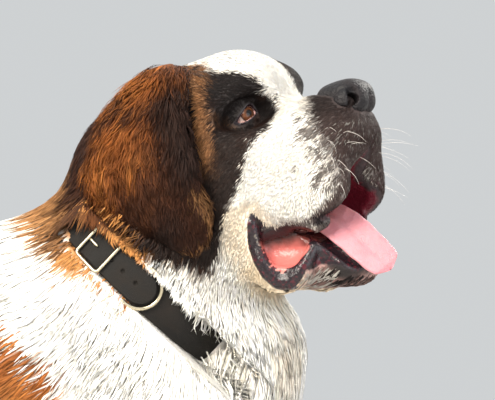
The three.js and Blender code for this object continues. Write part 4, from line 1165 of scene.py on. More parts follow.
def coat_plan(p, n, ear):
    """A row like those of TUFTS for each point on the skin, with soft steps between regions."""
    x, y, z = p.T
    hx, hy, hz = to_head(x, y, z)
    out = np.abs(hy)
    ahead_of_tail = smooth(-440, -430, x)
    near = by_head(hx, hy, hz, 300)
    on_leg = smooth(440, 330, z) * ahead_of_tail
    on_skull = near * smooth(-120, -84, hx) * smooth(-180, -160, hz)
    on_face = on_skull * smooth(-62, -30, hx)
    off_eye = np.linalg.norm(np.stack([hx, out, hz], 1) - EYE_AT - (4, 5, 0), axis=1)
    plan = np.array(TUFTS["trunk"])
    for region, share in (
        ("neck", smooth(170, 250, x) * smooth(520, 620, z)),
        ("leg", on_leg),
        ("back of leg", on_leg * smooth(0.0, -0.6, n[:, 0]) * smooth(110, 170, z)),
        ("foot", smooth(120, 70, z) * ahead_of_tail),
        ("belly", smooth(-0.35, -0.8, n[:, 2]) * smooth(330, 380, z) * smooth(500, 440, z)),
        ("tail", smooth(-425, -455, x)),
        ("behind head", near * smooth(-205, -150, hx) * smooth(-235, -195, hz)),
        ("skull", on_skull),
        ("face", on_face),
        ("lip", on_face * smooth(14, 4, upper_lip_edge(hx, out, hz))),
        ("eye", on_face * smooth(34, 20, off_eye)),
        ("gold", smooth(4, -4, gold_side(hx, hz)) * near * (1 - ear)),
    ):
        plan = toward(plan, TUFTS[region], share)
    on_lobe = smooth(-30, -95, hz + 0.3 * (hx + 90))
    flap = toward(np.array(TUFTS["ear"]), TUFTS["lobe"], on_lobe)
    flap = toward(flap, TUFTS["back of ear"], smooth(-84, -112, hx) * (1 - on_lobe))
    return toward(plan, flap, ear)


# Where a tuft's points lie along it, and how wide it is at those between its root and its tip
LAYER = {"short": (0, 0.42, 1), "long": (0, 0.3, 0.66, 1)}
WIDTHS = {"short": (1.0,), "long": (1.0, 0.85)}
LONG_FROM = 18.0  # a tuft at least this long has one section more
RIDGE = 0.17  # a tuft's height over its width
ROOT_DEEP = 0.6  # how far under the skin a tuft starts
LOCK = 9  # about how many tufts gather in a lock


def tuft_paths(roots, normals, ear, plan, steps, seed):
    """The middle line of each tuft, and the outward way at each of its points."""
    rng = np.random.default_rng(seed)
    count = len(roots)
    length = plan[:, 1] * rng.uniform(0.7, 1.2, count)
    deep = np.maximum(-coat_outline(*roots.T), 0.8)
    deep = mix(deep, 6.0, ear)
    lift = deep * plan[:, 3] * rng.uniform(0.3, 1.0, count) ** 0.7
    lift = np.minimum(lift, length * 0.6)
    twist = rng.normal(0, 0.13, count)
    path = [roots - normals * ROOT_DEEP]
    ways = [normals]
    here, n = roots, normals
    for before, t in zip(steps, steps[1:]):
        d = lie(here, n, ear)
        d = unit(d + np.cross(n, d) * twist[:, None])
        here = here + d * (length * (t - before))[:, None]
        value, slope = slope_at(skin, here)
        size = np.maximum(np.linalg.norm(slope, axis=1), 0.3)
        n = unit(n * 0.4 + slope / size[:, None])
        want = lift * (1 - (1 - t) ** 2)
        move = np.clip(want - value / size, -length * 0.5, length * 0.5)
        here = here + n * move[:, None]
        path.append(here)
        ways.append(n)
    path, ways = np.stack(path, 1), np.stack(ways, 1)
    # Locks: each tuft leans towards the nearest leader's tip
    leaders = np.arange(0, count, LOCK)
    tree = kdtree.KDTree(len(leaders))
    for i, leader in enumerate(leaders):
        tree.insert(roots[leader], i)
    tree.balance()
    own = leaders[[tree.find(root)[1] for root in roots.tolist()]]
    t = np.array(steps)[None, :, None]
    pull = plan[:, 5][:, None, None] * rng.uniform(0.5, 1.1, count)[:, None, None] * t ** 1.5
    path = path + (path[own] - path) * pull
    # Waves, in step within a lock
    along = unit(np.diff(path, axis=1))
    along = np.concatenate([along, along[:, -1:]], 1)
    across = unit(np.cross(along, ways))
    phase = rng.uniform(0, 2 * math.pi, count)[own][:, None, None] + rng.normal(0, 0.5, count)[:, None, None]
    path = path + across * plan[:, 4][:, None, None] * np.sin(phase + 5.0 * t) * t
    return path, ways, own


# By the angle from the throat, how far the hair lies over the band's upper edge
OVER_COLLAR = [
    (30, 17), (60, 16), (66, 13), (76, 6), (86, 4), (100, 4), (107, 6), (113, 9), (119, 16), (124, 44),
]
LOOP_AT = np.array(COLLAR_AT, float)
LOOP_AXIS = np.array([COLLAR_ALONG[0], 0, COLLAR_ALONG[1]])


def over_collar(path, own, rng):
    """Keeps tufts out of the collar: below it they are left out, and from above they lie over its edge."""
    count, steps = path.shape[:2]
    across, angle, high = (a.reshape(count, steps) for a in collar_place(*path.reshape(-1, 3).T))
    half = COLLAR_WIDTH / 2
    open_to = mix(6.0, 24.0, smooth(GROOVE["throat"] - 2, GROOVE["throat"] + 12, angle))
    bare = (angle > GROOVE["throat"] - 1) & (angle < GROOVE["nape"] + 4) & (high < open_to)
    ragged = rng.uniform(0, 1, count)[own]
    over = np.interp(angle[:, 0], *zip(*OVER_COLLAR))
    over = over * (0.6 + 0.8 * ragged) * rng.uniform(0.6, 1.0, count)
    under = (across[:, 0] > -half - 1.5) & (across[:, 0] < 0) & (across[:, -1] < -half - 3)
    keep = ~(bare[:, 0] & (np.abs(across[:, 0]) < half + 1.5)) | under
    # A tuft from above stops where it has lain over the edge, and one from below never reaches the band
    start, end = across[:, 0], across[:, -1]
    limit = np.where(start > 0, half - over, -half - 1.5)
    crossing = bare.any(1) & np.where(start > 0, end < limit, (end > limit) & (start <= -half))
    share = np.where(crossing, np.clip((start - limit) / np.where(start == end, 1, start - end), 0.12, 1), 1)
    path = path[:, :1] + (path - path[:, :1]) * share[:, None, None]
    across, angle, high = (a.reshape(count, steps) for a in collar_place(*path.reshape(-1, 3).T))
    on = (np.abs(across) < half + 4) & (angle > GROOVE["throat"] - 4) & (angle < GROOVE["nape"] + 8)
    # They clear the band, the strap's end on it and the buckle
    clear = COLLAR_THICK + 3 + 3.5 * smooth(74, 78, angle) + 4.5 * smooth(101, 104, angle)
    rise = np.where(on & (start[:, None] > 0), np.maximum(clear - high, 0), 0)
    rise = rise * smooth(half + 9, half + 1, np.abs(across))
    # Those that grow under the band come out below it
    rise = rise - np.where(under[:, None] & (np.abs(across) < half + 2), np.maximum(high + 1.5, 0), 0)
    outward = path - LOOP_AT
    outward = unit(outward - (outward @ LOOP_AXIS)[..., None] * LOOP_AXIS)
    path = path + outward * rise[..., None]
    return path, keep


OVER_FLOOR = 0.6  # no tuft comes lower than this


def tuft_mesh(path, ways, width, steps, widths):
    """Closed spindles round the paths: points, triangles, each point's place across and along, and their count."""
    count, rings = len(path), len(widths)
    along = unit(path[:, 2:] - path[:, :-2])
    across = unit(np.cross(along, ways[:, 1:-1]))
    outward = np.cross(across, along)
    wide = width[:, None, None] * np.array(widths)[None, :, None]
    middle = path[:, 1:-1]
    half = across * wide / 2
    ring = np.stack([middle - half, middle + half, middle + outward * wide * RIDGE], 2)
    points = np.concatenate([path[:, :1], ring.reshape(count, rings * 3, 3), path[:, -1:]], 1)
    points[..., 2] = np.maximum(points[..., 2], OVER_FLOOR)
    faces = [(0, 1 + i, 1 + (i + 1) % 3) for i in range(3)]
    for r in range(rings - 1):
        a, b = 3 * r + 1, 3 * r + 4
        for i in range(3):
            j = (i + 1) % 3
            faces += [(a + i, b + i, a + j), (a + j, b + i, b + j)]
    last, tip = 3 * rings - 2, 3 * rings + 1
    faces += [(last + i, tip, last + (i + 1) % 3) for i in range(3)]
    size = tip + 1
    faces = np.array(faces)[None] + (np.arange(count) * size)[:, None, None]
    place = [(0, 0)] + [(s, steps[r + 1]) for r in range(rings) for s in (-1, 1, 0)] + [(0, 1)]
    return points.reshape(-1, 3), faces.reshape(-1, 3), np.tile(np.array(place, float), (count, 1)), size


TUFT_PATCH = 0.003  # a tuft's size on the unwrap
BARE_SOLE = 7  # no tuft grows lower than this
# What a dark and a pale tuft's colour is multiplied by at its root: painted shade deep in the coat
DARK_ROOT_SHADE = np.array([0.5, 0.44, 0.4])
PALE_ROOT_SHADE = np.array([1.0, 0.96, 0.9])


def unwrapped(roots, normals):
    """Places on an unwrap of the skin: one box side in each of six cells."""
    axis = np.argmax(np.abs(normals), 1)
    sign = normals[np.arange(len(normals)), axis] > 0
    cell = axis * 2 + sign
    low, high = roots.min(0), roots.max(0)
    share = (roots - low) / np.maximum(high - low, 1)
    flat = np.take_along_axis(share, np.array([(1, 2), (0, 2), (0, 1)])[axis], 1)
    u = (cell % 3 + 0.02 + 0.96 * flat[:, 0]) / 3
    v = (cell // 3 + 0.02 + 0.96 * flat[:, 1]) / 2
    return np.stack([u, v], 1)


def mouth_or_eye(p, n):
    """Where the head grows no hair: in the mouth, on the lips' rims, by the eyes and under the nose leather."""
    hx, hy, hz = to_head(*p.T)
    out = np.abs(hy)
    _, wet = bare_skin(p, n, np.zeros((len(p), 3)))
    nose = nose_form(hx, hy, hz) < 0.4
    ahead, across, up = eye_place(hx, out, hz)
    lids = (lid_gap(across, up) < 1.6) & (0 < ahead) & (ahead < 30)
    return (wet > 0.3) | nose | lids


def part_of(p, ear):
    """The piece of coat that each root belongs to."""
    x, y, z = p.T
    hx, hy, hz = to_head(x, y, z)
    near = (hx > -95) & (hz > -185) & (np.abs(hy) < 110)
    name = np.full(len(p), "body", dtype="<U12")
    name[(x > 165) & (z > 520)] = "neck"
    name[(z < 430)] = "legs"
    name[x < -432] = "tail"
    name[near & (z > 640)] = "head"
    name[ear > 0.5] = "ear"
    head_like = (name == "head") | (name == "ear")
    side = np.where(np.where(head_like, hy, y) > 0, "left", "right")
    return np.char.add(np.char.add(name, "_"), side)


def tuft_roots(points, faces, rng):
    """Places on the skin that tufts grow from, as close together as the plan says, and the normals there."""
    corners = points[faces]
    middle = corners.mean(1)
    cross = np.cross(corners[:, 1] - corners[:, 0], corners[:, 2] - corners[:, 0])
    area = np.linalg.norm(cross, axis=1) / 2
    n = unit(cross)
    ear = ear_share(middle)
    plan = coat_plan(middle, n, ear)
    bald = mouth_or_eye(middle, n) | (middle[:, 2] < BARE_SOLE)
    expected = np.cumsum(np.where(bald, 0, area / 100 * plan[:, 0]))
    total = int(expected[-1])
    at = np.searchsorted(expected, (np.arange(total) + rng.uniform(0, 1, total)) * expected[-1] / total)
    at = rng.permutation(np.minimum(at, len(faces) - 1))
    a, b = np.sqrt(rng.uniform(0, 1, total)), rng.uniform(0, 1, total)
    weights = np.stack([1 - a, a * (1 - b), a * b], 1)
    roots = (corners[at] * weights[..., None]).sum(1)
    vertex_normals = normals_of(points, faces)
    return roots, unit((vertex_normals[faces[at]] * weights[..., None]).sum(1))


def coat_tufts(points, faces):
    """All tufts: for each piece, batches of points, triangles, colours with painted shade at the roots, unwrap,
    strand, skin normals and seeds.
    """
    rng = np.random.default_rng(77)
    roots, normals = tuft_roots(points, faces, rng)
    ear = ear_share(roots)
    plan = coat_plan(roots, normals, ear)
    groups = part_of(roots, ear)
    found = {}
    for kind in ("short", "long"):
        here = np.nonzero((plan[:, 1] >= LONG_FROM) == (kind == "long"))[0]
        steps = LAYER[kind]
        path, ways, own = tuft_paths(roots[here], normals[here], ear[here], plan[here], steps, 5 + len(kind))
        path, keep = over_collar(path, own, rng)
        colours = tuft_colours(roots[here], ear[here], own, rng)
        width = plan[here, 2] * rng.uniform(0.75, 1.25, len(here))
        for group in np.unique(groups[here]):
            i = np.nonzero((groups[here] == group) & keep)[0]
            p, f, strand, size = tuft_mesh(path[i], ways[i], width[i], steps, WIDTHS[kind])
            unwrap = np.repeat(unwrapped(roots[here][i], normals[here][i]), size, 0)
            unwrap = unwrap + strand * (TUFT_PATCH / 2, TUFT_PATCH)
            shade = np.repeat(colours[i], size, 0)
            # Painted shade at each tuft's root, deep in the coat, fading out towards its tip
            pale = smooth(0.1, 0.5, shade.mean(1))[:, None]
            root_shade = mix(DARK_ROOT_SHADE, PALE_ROOT_SHADE, pale)
            shade = shade * mix(root_shade, 1.04, smooth(0.0, 0.7, strand[:, 1])[:, None])
            lay = np.repeat(normals[here][i], size, 0)
            seed = np.repeat(rng.uniform(0, 1, len(i)), size)
            found.setdefault(group, []).append((p, f, shade, unwrap, strand, lay, seed))
    return found


def tuft_colours(roots, ear, own, rng):
    """Each tuft's colour: the marking where it grows, a little off from its neighbours."""
    moved = roots + rng.normal(0, 1.6, roots.shape)
    colour = markings(moved, ear)
    uneven = mix(0.1, 0.035, smooth(0.15, 0.5, colour.mean(1)))
    shade = 1 + (rng.normal(0, 0.8, len(roots))[own] + rng.normal(0, 1, len(roots))) * uneven
    warm = rng.normal(0, 0.03, len(roots))
    colour = colour * shade[:, None] * (1 + warm[:, None] * (1, 0, -1))
    hx, hy, hz = to_head(*roots.T)
    # Pale hairs in the muzzle's dark front, and white hairs on the chin
    chance = rng.uniform(0, 1, len(roots))
    front_dark = (muzzle_side(hx, hz) < 2) & (hz < -34) & (hz > -134)
    pale = front_dark & (chance < 0.12 + 0.1 * waves_at(roots, 9, 31))
    colour[pale] = WHITE * 0.28
    chin = (hz < -150) & (hx > 8) & (hx < 48) & (chance < 0.5)
    colour[chin] = WHITE * 0.4
    return np.clip(colour, 0.004, 0.9)


# Nose leather, eyes, tongue, teeth, claws and whiskers


def to_world(points):
    """Points of the head's own frame, in the shared frame."""
    return np.stack(from_head(*np.asarray(points, float).T), 1)


# The nostril from outside and inward, its slit, the groove in the middle and the fold over the wing, as paths
NOSTRIL = [(101, 23.5, -11), (99.5, 24.5, -19), (96, 24.5, -27)]
NOSTRIL_IN = [(98, 22, -17), (80, 10, -19)]
NOSE_SLIT = [(94, 25.5, -26.5), (88, 29.5, -24.8), (79.6, 28.4, -22.8), (72, 26, -20.5)]
PHILTRUM = [(108, 0, -4), (108, 0, -16), (106, 0, -28), (102, 0, -42)]
WING_FOLD = [(96, 25, -6.5), (90, 28, -5.5), (82, 28.5, -9), (76, 27, -17)]
nose_pad = block((80.5, 0, -13.5), (24.5, 25, 17.5), 14)
nose_top = ball((83, 0, -7), (24, 23, 12.5), -8)
nose_wing = ball((88, 21.5, -16.5), (12.5, 10, 12.5))
nose_rim = ball((98, 9, -16), (8.5, 9, 13))


def nose_solid(hx, hy, hz):
    """The nose before its nostrils and grooves."""
    out = np.abs(hy)
    d = blend(nose_pad(hx, hy, hz), nose_top(hx, hy, hz), 8)
    return blend(blend(d, nose_wing(hx, out, hz), 6), nose_rim(hx, out, hz), 6)


def nose_form(hx, hy, hz):
    """The nose leather, with its nostrils, slits and middle groove."""
    out = np.abs(hy)
    d = nose_solid(hx, hy, hz)
    hole, along = near_path(NOSTRIL, hx, out, hz)
    inner, deep = near_path(NOSTRIL_IN, hx, out, hz)
    d = carve(d, np.minimum(hole - 5.8 + 1.2 * along, inner - 6.4 + 1.5 * deep), 2)
    slit, along = near_path(NOSE_SLIT, hx, out, hz)
    d = carve(d, slit - 2.5 + 1.3 * along, 2)
    groove, _ = near_path(PHILTRUM, hx, out, hz)
    d = d + 1.6 * np.exp(-((groove / 1.5) ** 2))
    fold, along = near_path(WING_FOLD, hx, out, hz)
    return d + 2.0 * np.exp(-((fold / 2.6) ** 2)) * np.sin(math.pi * np.clip(along, 0.1, 0.9))


def nose_mesh():
    """The nose leather in the head's own frame."""
    xs, ys, zs = lines(50, [(112, 1.5)]), lines(-34, [(34, 1.5)]), lines(-44, [(12, 1.5)])
    points, quads = surface(nose_form, xs, ys, zs)
    return settled(points, nose_form, 0.8, 0.3), triangles(points, quads)


def circle(around):
    """Angles evenly round a circle."""
    return np.arange(around) * 2 * math.pi / around


def globe_mesh(side):
    """An eyeball whose cornea bulges towards where it looks, and its points seen from that side."""
    rings, spokes = 56, 64
    gaze = np.array([math.cos(GAZE), math.sin(GAZE), 0.02])
    gaze /= np.linalg.norm(gaze)
    across = unit(np.cross(gaze, (0, 0, 1.0)))
    up = np.cross(across, gaze)
    turn = np.linspace(0, math.pi, rings + 1)[1:-1]
    local = [(0.0, 0.0, 1.0)]
    local += [(math.sin(a) * math.cos(b), math.sin(a) * math.sin(b), math.cos(a))
              for a in turn for b in circle(spokes)]
    local = np.array(local + [(0.0, 0.0, -1.0)])
    cornea = smooth(math.cos(math.radians(36)), math.cos(math.radians(20)), local[:, 2])
    radius = EYE_RADIUS - 0.15 + 0.9 * cornea
    head = EYE_AT + (local[:, :1] * across + local[:, 1:2] * up + local[:, 2:] * gaze) * radius[:, None]
    head[:, 1] *= side
    faces = []
    last = len(local) - 1
    for j in range(spokes):
        k = (j + 1) % spokes
        faces += [(0, 1 + j, 1 + k), (last, last - spokes + k, last - spokes + j)]
        for i in range(rings - 2):
            a, b = 1 + i * spokes, 1 + (i + 1) * spokes
            faces += [(a + j, b + j, b + k), (a + j, b + k, a + k)]
    return to_world(head), outward(head, np.array(faces)), local


def outward(points, faces):
    """A closed mesh's faces, all turned over if they look inward."""
    a, b, c = (points[faces[:, i]] for i in range(3))
    return faces[:, ::-1] if np.einsum("ij,ij->", a, np.cross(b, c)) < 0 else faces


def ring_faces(rings, around, closed=False):
    """Quads as triangles between rings of points, with flat ends where the run isn't closed."""
    faces = []
    for r in range(rings if closed else rings - 1):
        a, b = r * around, (r + 1) % rings * around
        for i in range(around):
            j = (i + 1) % around
            faces += [(a + i, b + i, b + j), (a + i, b + j, a + j)]
    if not closed:
        end = (rings - 1) * around
        faces += [(0, i, i + 1) for i in range(1, around - 1)]
        faces += [(end, end + i + 1, end + i) for i in range(1, around - 1)]
    return np.array(faces)


def closed_loft(rings, closed=False):
    """A closed mesh through rings, each a list of points in the same order."""
    rings = np.asarray(rings, float)
    points = rings.reshape(-1, 3)
    faces = ring_faces(len(rings), rings.shape[1], closed)
    return points, outward(points - points.mean(0), faces)


def joined(pieces):
    """Several meshes as one."""
    points, faces, base = [], [], 0
    for p, f in pieces:
        points.append(p)
        faces.append(f + base)
        base += len(p)
    return np.concatenate(points), np.concatenate(faces)


TONGUE = [
    # how far along, x, y, z, half the width, roll in degrees
    (0, -40, 0, -131, 19, 0),
    (1, 0, -4, -121, 19.5, 10),
    (2, 32, -13, -118, 20.5, 36),
    (3, 52.5, -19, -135, 20.5, 48),
    (4, 69.5, -21, -158.5, 19, 54),
    (5, 83.5, -20, -180.5, 16, 56),
    (5.5, 87.5, -19, -188, 7, 56),
]
TONGUE_THICK = 8.4
tongue_at = stations(TONGUE)


def tongue_mesh():
    """The tongue, with its groove and the creases where it bends; and for each point how far along and across
    it is, and whether on top."""
    around = 56  # points in a ring
    ts = np.concatenate([np.linspace(0, 5, 110), 5 + 0.5 * np.sin(np.linspace(0, math.pi / 2, 26))[1:]])
    a = circle(around)
    rings, marks = [], []
    for t in ts:
        s, ahead, back = (
            np.array([float(v[0]) for v in tongue_at(np.array([u]))[1]])
            for u in (t, min(t + 0.08, 5.5), max(t - 0.08, 0)))
        along = unit(ahead[:3] - back[:3])
        across = unit(np.array([0, 1.0, 0]) - along * along[1])
        roll = math.radians(s[4])
        up = -np.cross(across, along)
        across, up = (across * math.cos(roll) + np.cross(along, across) * math.sin(roll),
                      up * math.cos(roll) + np.cross(along, up) * math.sin(roll))
        half = s[3] * (math.sqrt(max(1 - ((t - 5) / 0.52) ** 2, 0.02)) if t > 5 else 1)
        half = min(half, s[3] * 1.15) if t <= 5 else max(half, 1.5)
        w = np.sign(np.cos(a)) * np.abs(np.cos(a)) ** 0.85
        thick = TONGUE_THICK / 2 * min(1, half / 14)
        top = np.sin(a) > 0
        h = thick * np.sign(np.sin(a)) * np.abs(np.sin(a)) ** 0.8
        groove = 1.6 * np.exp(-((w / 0.09) ** 2)) * smooth(5.3, 4.2, t)
        dish = 2.0 * (1 - w * w)
        crease = 0.45 * np.sin(t * 15 + 3.2 * w * w) * smooth(1.4, 2.2, t) * smooth(4.6, 3.6, t)
        crease = crease * np.abs(w) * (1 - w ** 4)
        edge = 0.25 * np.sin(t * 9 + 1) * np.abs(w) ** 6
        h = h - np.where(top, groove + dish - crease, dish * 0.6)
        ring = s[:3] + np.outer(w * half + edge, across) + np.outer(h, up)
        rings.append(ring)
        marks.append(np.stack([np.full(around, t), w, top.astype(float)], 1))
    points, faces = closed_loft(to_world(np.concatenate(rings)).reshape(len(ts), around, 3))
    return points, faces, np.concatenate(marks)


TOOTH = {"count": 4, "first": (32, 24, -154), "last": (-8, 29, -140), "radius": 3.6, "height": 8}


def tooth_mesh():
    """The cheek teeth, each with two rounded cusps."""
    found = []
    a = circle(20)
    for side in (-1, 1):
        for i in range(TOOTH["count"]):
            t = i / (TOOTH["count"] - 1)
            x, y, z = (a + (b - a) * t for a, b in zip(TOOTH["first"], TOOTH["last"]))
            rings = []
            for h in np.linspace(-1, 1, 13):
                full = TOOTH["radius"] * math.sqrt(max(1 - max(h, 0) ** 2, 0.01))
                r = full * (1 + 0.1 * np.cos(2 * a))
                top = 1.2 * np.abs(np.cos(a)) * max(h, 0) ** 2
                rings.append(np.stack([x + 1.15 * r * np.cos(a), side * y + 0.8 * r * np.sin(a),
                                       z + TOOTH["height"] * 0.8 * h - 0.8 + top], 1))
            found.append(closed_loft(to_world(np.concatenate(rings)).reshape(len(rings), len(a), 3)))
    return joined(found)


CLAW = {"length": 28, "radius": 5.2, "droop": 10, "high": 20}


def claw_mesh(x0, y0, tilt):
    """A curved claw that is deeper than wide and ends in a worn point."""
    rings = []
    a = circle(20)
    ridge = 1 + 0.03 * np.cos(6 * a)
    for t in np.linspace(0, 1, 22):
        radius = CLAW["radius"] * (1 - t) ** 0.55 * (1 - 0.25 * t) + 0.25
        x = t * (CLAW["length"] - 0.5)
        rings.append(np.stack([
            np.full(len(a), x0 + x),
            y0 + x * tilt + 0.74 * radius * ridge * np.cos(a),
            CLAW["high"] - CLAW["droop"] * t * t - 2 * t + radius * ridge * np.sin(a) * 0.96,
        ], 1))
    return closed_loft(rings)


def round_bar(path, radius, around, beside=(0.31, 0.21, 0.93), closed=False):
    """A round bar along points, its radius given for each or for all, and a way that its rings start from."""
    along = np.roll(path, -1, 0) - np.roll(path, 1, 0) if closed else np.gradient(path, axis=0)
    along = unit(along)
    side = unit(np.cross(along, beside))
    up = np.cross(side, along)
    c, s = np.cos(circle(around))[None, :, None], np.sin(circle(around))[None, :, None]
    radius = np.broadcast_to(radius, len(path))[:, None, None]
    return closed_loft(path[:, None] + radius * (side[:, None] * c + up[:, None] * s), closed)


# The collar: each point is laid out flat and wrapped round the loop by an angle from the throat round the
# dog's right side, a place across the band, and a height over the band's inner face.
LOOP_DOWN = np.array([COLLAR_ALONG[1], 0, -COLLAR_ALONG[0]])
MM_PER_DEGREE = math.pi * (COLLAR_DEEP + COLLAR_HALF) / 360


def on_loop(angle, across, height):
    """Places on the collar, wrapped round its loop."""
    angle, across, height = np.broadcast_arrays(*(np.asarray(v, float) for v in (angle, across, height)))
    a = np.radians(angle)
    ox, oy = np.cos(a) * COLLAR_HALF, np.sin(a) * COLLAR_DEEP
    size = np.hypot(ox, oy)
    down = COLLAR_DEEP * np.cos(a) + height * ox / size
    p = LOOP_AT + down[..., None] * LOOP_DOWN + across[..., None] * LOOP_AXIS
    p[..., 1] -= COLLAR_HALF * np.sin(a) + height * oy / size
    return p


def strap_section(half, thick, steps):
    """A strap's section with rounded edges, as points across it and up."""
    r = min(thick * 0.42, half * 0.6)
    across = np.linspace(-half + r, half - r, steps)
    corner = np.linspace(0, math.pi / 2, 5)
    top = [(x, thick) for x in across]
    right = [(half - r + r * math.sin(a), thick - r + r * math.cos(a)) for a in corner[1:]]
    right += [(half - r + r * math.cos(a), r - r * math.sin(a)) for a in corner[:-1]]
    bottom = [(x, 0.0) for x in across[::-1]]
    left = [(-x, h) for x, h in right[::-1]]
    return np.array(top + right + bottom + left)


STRAP = {"from": 128, "to": 78, "half": 17, "low": COLLAR_THICK + 0.4, "thick": 3.4}
HOLES = [(119.5, 0), (104, 0), (96.5, 0), (88.5, 0)]  # angle and place across
HOLE = 1.9


def band_mesh():
    """The band, slightly wavy, with a pressed line along each edge; and each point's place when laid flat."""
    places, heights = strap_section(COLLAR_WIDTH / 2 - 0.2, COLLAR_THICK - 0.3, 16).T
    rings, marks = [], []
    for a in np.arange(0, 360, 1.5):
        wave = 0.25 * math.sin(a * 0.21) + 0.15 * math.sin(a * 0.63 + 1)
        line = np.exp(-(((np.abs(places) - 15.2) / 0.5) ** 2)) * (heights > 3)
        rings.append(on_loop(a, places * 0.99 + wave, heights + 0.15 - 0.35 * line))
        marks.append(np.stack([np.full(len(places), a * MM_PER_DEGREE), places, line], 1))
    points, faces = closed_loft(rings, True)
    return points, faces, np.concatenate(marks)


def strap_mesh():
    """The strap's free end, with its punched holes, laid over the band; and each point's place when laid flat."""
    round_part = STRAP["half"] / MM_PER_DEGREE
    angles = list(STRAP["to"] + round_part * (1 - np.cos(np.linspace(0.06, math.pi / 2, 26))))
    angles += list(np.arange(angles[-1] + 0.42, STRAP["from"], 0.42)) + [STRAP["from"]]
    rings, marks = [], []
    for a in angles:
        into = min((a - STRAP["to"]) / round_part, 1)
        half = max((STRAP["half"] - 0.15) * math.sqrt(1 - (1 - into) ** 2), 0.8)
        across, high = strap_section(half, STRAP["thick"] - 0.1, 44).T
        top = high > STRAP["thick"] * 0.6
        dent = 0
        for angle, place in HOLES:
            away = np.hypot((a - angle) * MM_PER_DEGREE, across - place)
            dent = np.maximum(dent, smooth(HOLE + 0.35, HOLE - 0.35, away))
        edge = np.exp(-(((half - np.abs(across)) - 2.2) ** 2) / 0.2) * top
        high = high - np.where(top, 2.4 * dent + 0.25 * edge, 0)
        high = high + 0.35 * math.sin((a - 70) * 0.12) * smooth(100, 80, a)
        rings.append(on_loop(a, across, STRAP["low"] + 0.05 + high))
        marks.append(np.stack([np.full(len(across), a * MM_PER_DEGREE), across, dent * top], 1))
    points, faces = closed_loft(rings)
    return points, faces, np.concatenate(marks)


METAL_HIGH = STRAP["low"] + STRAP["thick"] + 2.6
BUCKLE = {"angle": 112, "long": 30, "wide": 39, "bar": 1.6, "corner": 4, "pin": 11}
RING = {"bar": 1.9, "clear": 2.6}


def metal_bar(angle, across, height, radius, closed=False):
    """A round bar along places on the loop."""
    at = on_loop(angle, across, height)
    return round_bar(at, radius, 16, on_loop(angle, across, height + 1) - at, closed)


def buckle_mesh():
    """The frame: a rectangle of round bar with rounded corners."""
    u, v, c = BUCKLE["long"] / 2, BUCKLE["wide"] / 2, BUCKLE["corner"]
    path = []
    for su, sv, start in ((1, 1, 0), (-1, 1, 90), (-1, -1, 180), (1, -1, 270)):
        for a in np.radians(np.linspace(start, start + 90, 9)):
            path.append((su * (u - c) + c * math.cos(a), sv * (v - c) + c * math.sin(a)))
    path = np.array(path)
    dense = []
    for p, q in zip(path, np.roll(path, -1, 0)):
        steps = max(int(np.hypot(*(q - p)) / 1.5), 1)
        dense += [p + (q - p) * i / steps for i in range(steps)]
    dense = np.array(dense)
    angle = BUCKLE["angle"] + dense[:, 0] / MM_PER_DEGREE
    return metal_bar(angle, dense[:, 1], METAL_HIGH, BUCKLE["bar"], True)


def pin_mesh():
    """The pin comes up through the strap and ends at the frame's bar on the nape's side."""
    start = BUCKLE["angle"] + (BUCKLE["long"] / 2 - BUCKLE["bar"] - 0.4) / MM_PER_DEGREE
    t = np.linspace(0, 1, 20)
    radius = 1.4 * np.sqrt(np.clip(1 - (2 * t - 1) ** 8, 0.1, 1))
    return metal_bar(start - t * BUCKLE["pin"] / MM_PER_DEGREE, 0, METAL_HIGH - 0.6 - 0.6 * t * t, radius)


def ring_mesh():
    """A half round ring round the strap's end."""
    radius = STRAP["half"] + RING["clear"] + RING["bar"]
    middle = STRAP["to"] + STRAP["half"] / MM_PER_DEGREE
    high = COLLAR_THICK + 0.4 + RING["bar"]
    t = np.radians(np.linspace(-100, 100, 90))
    return metal_bar(middle - radius * np.cos(t) / MM_PER_DEGREE, radius * np.sin(t), high, RING["bar"])


# Materials


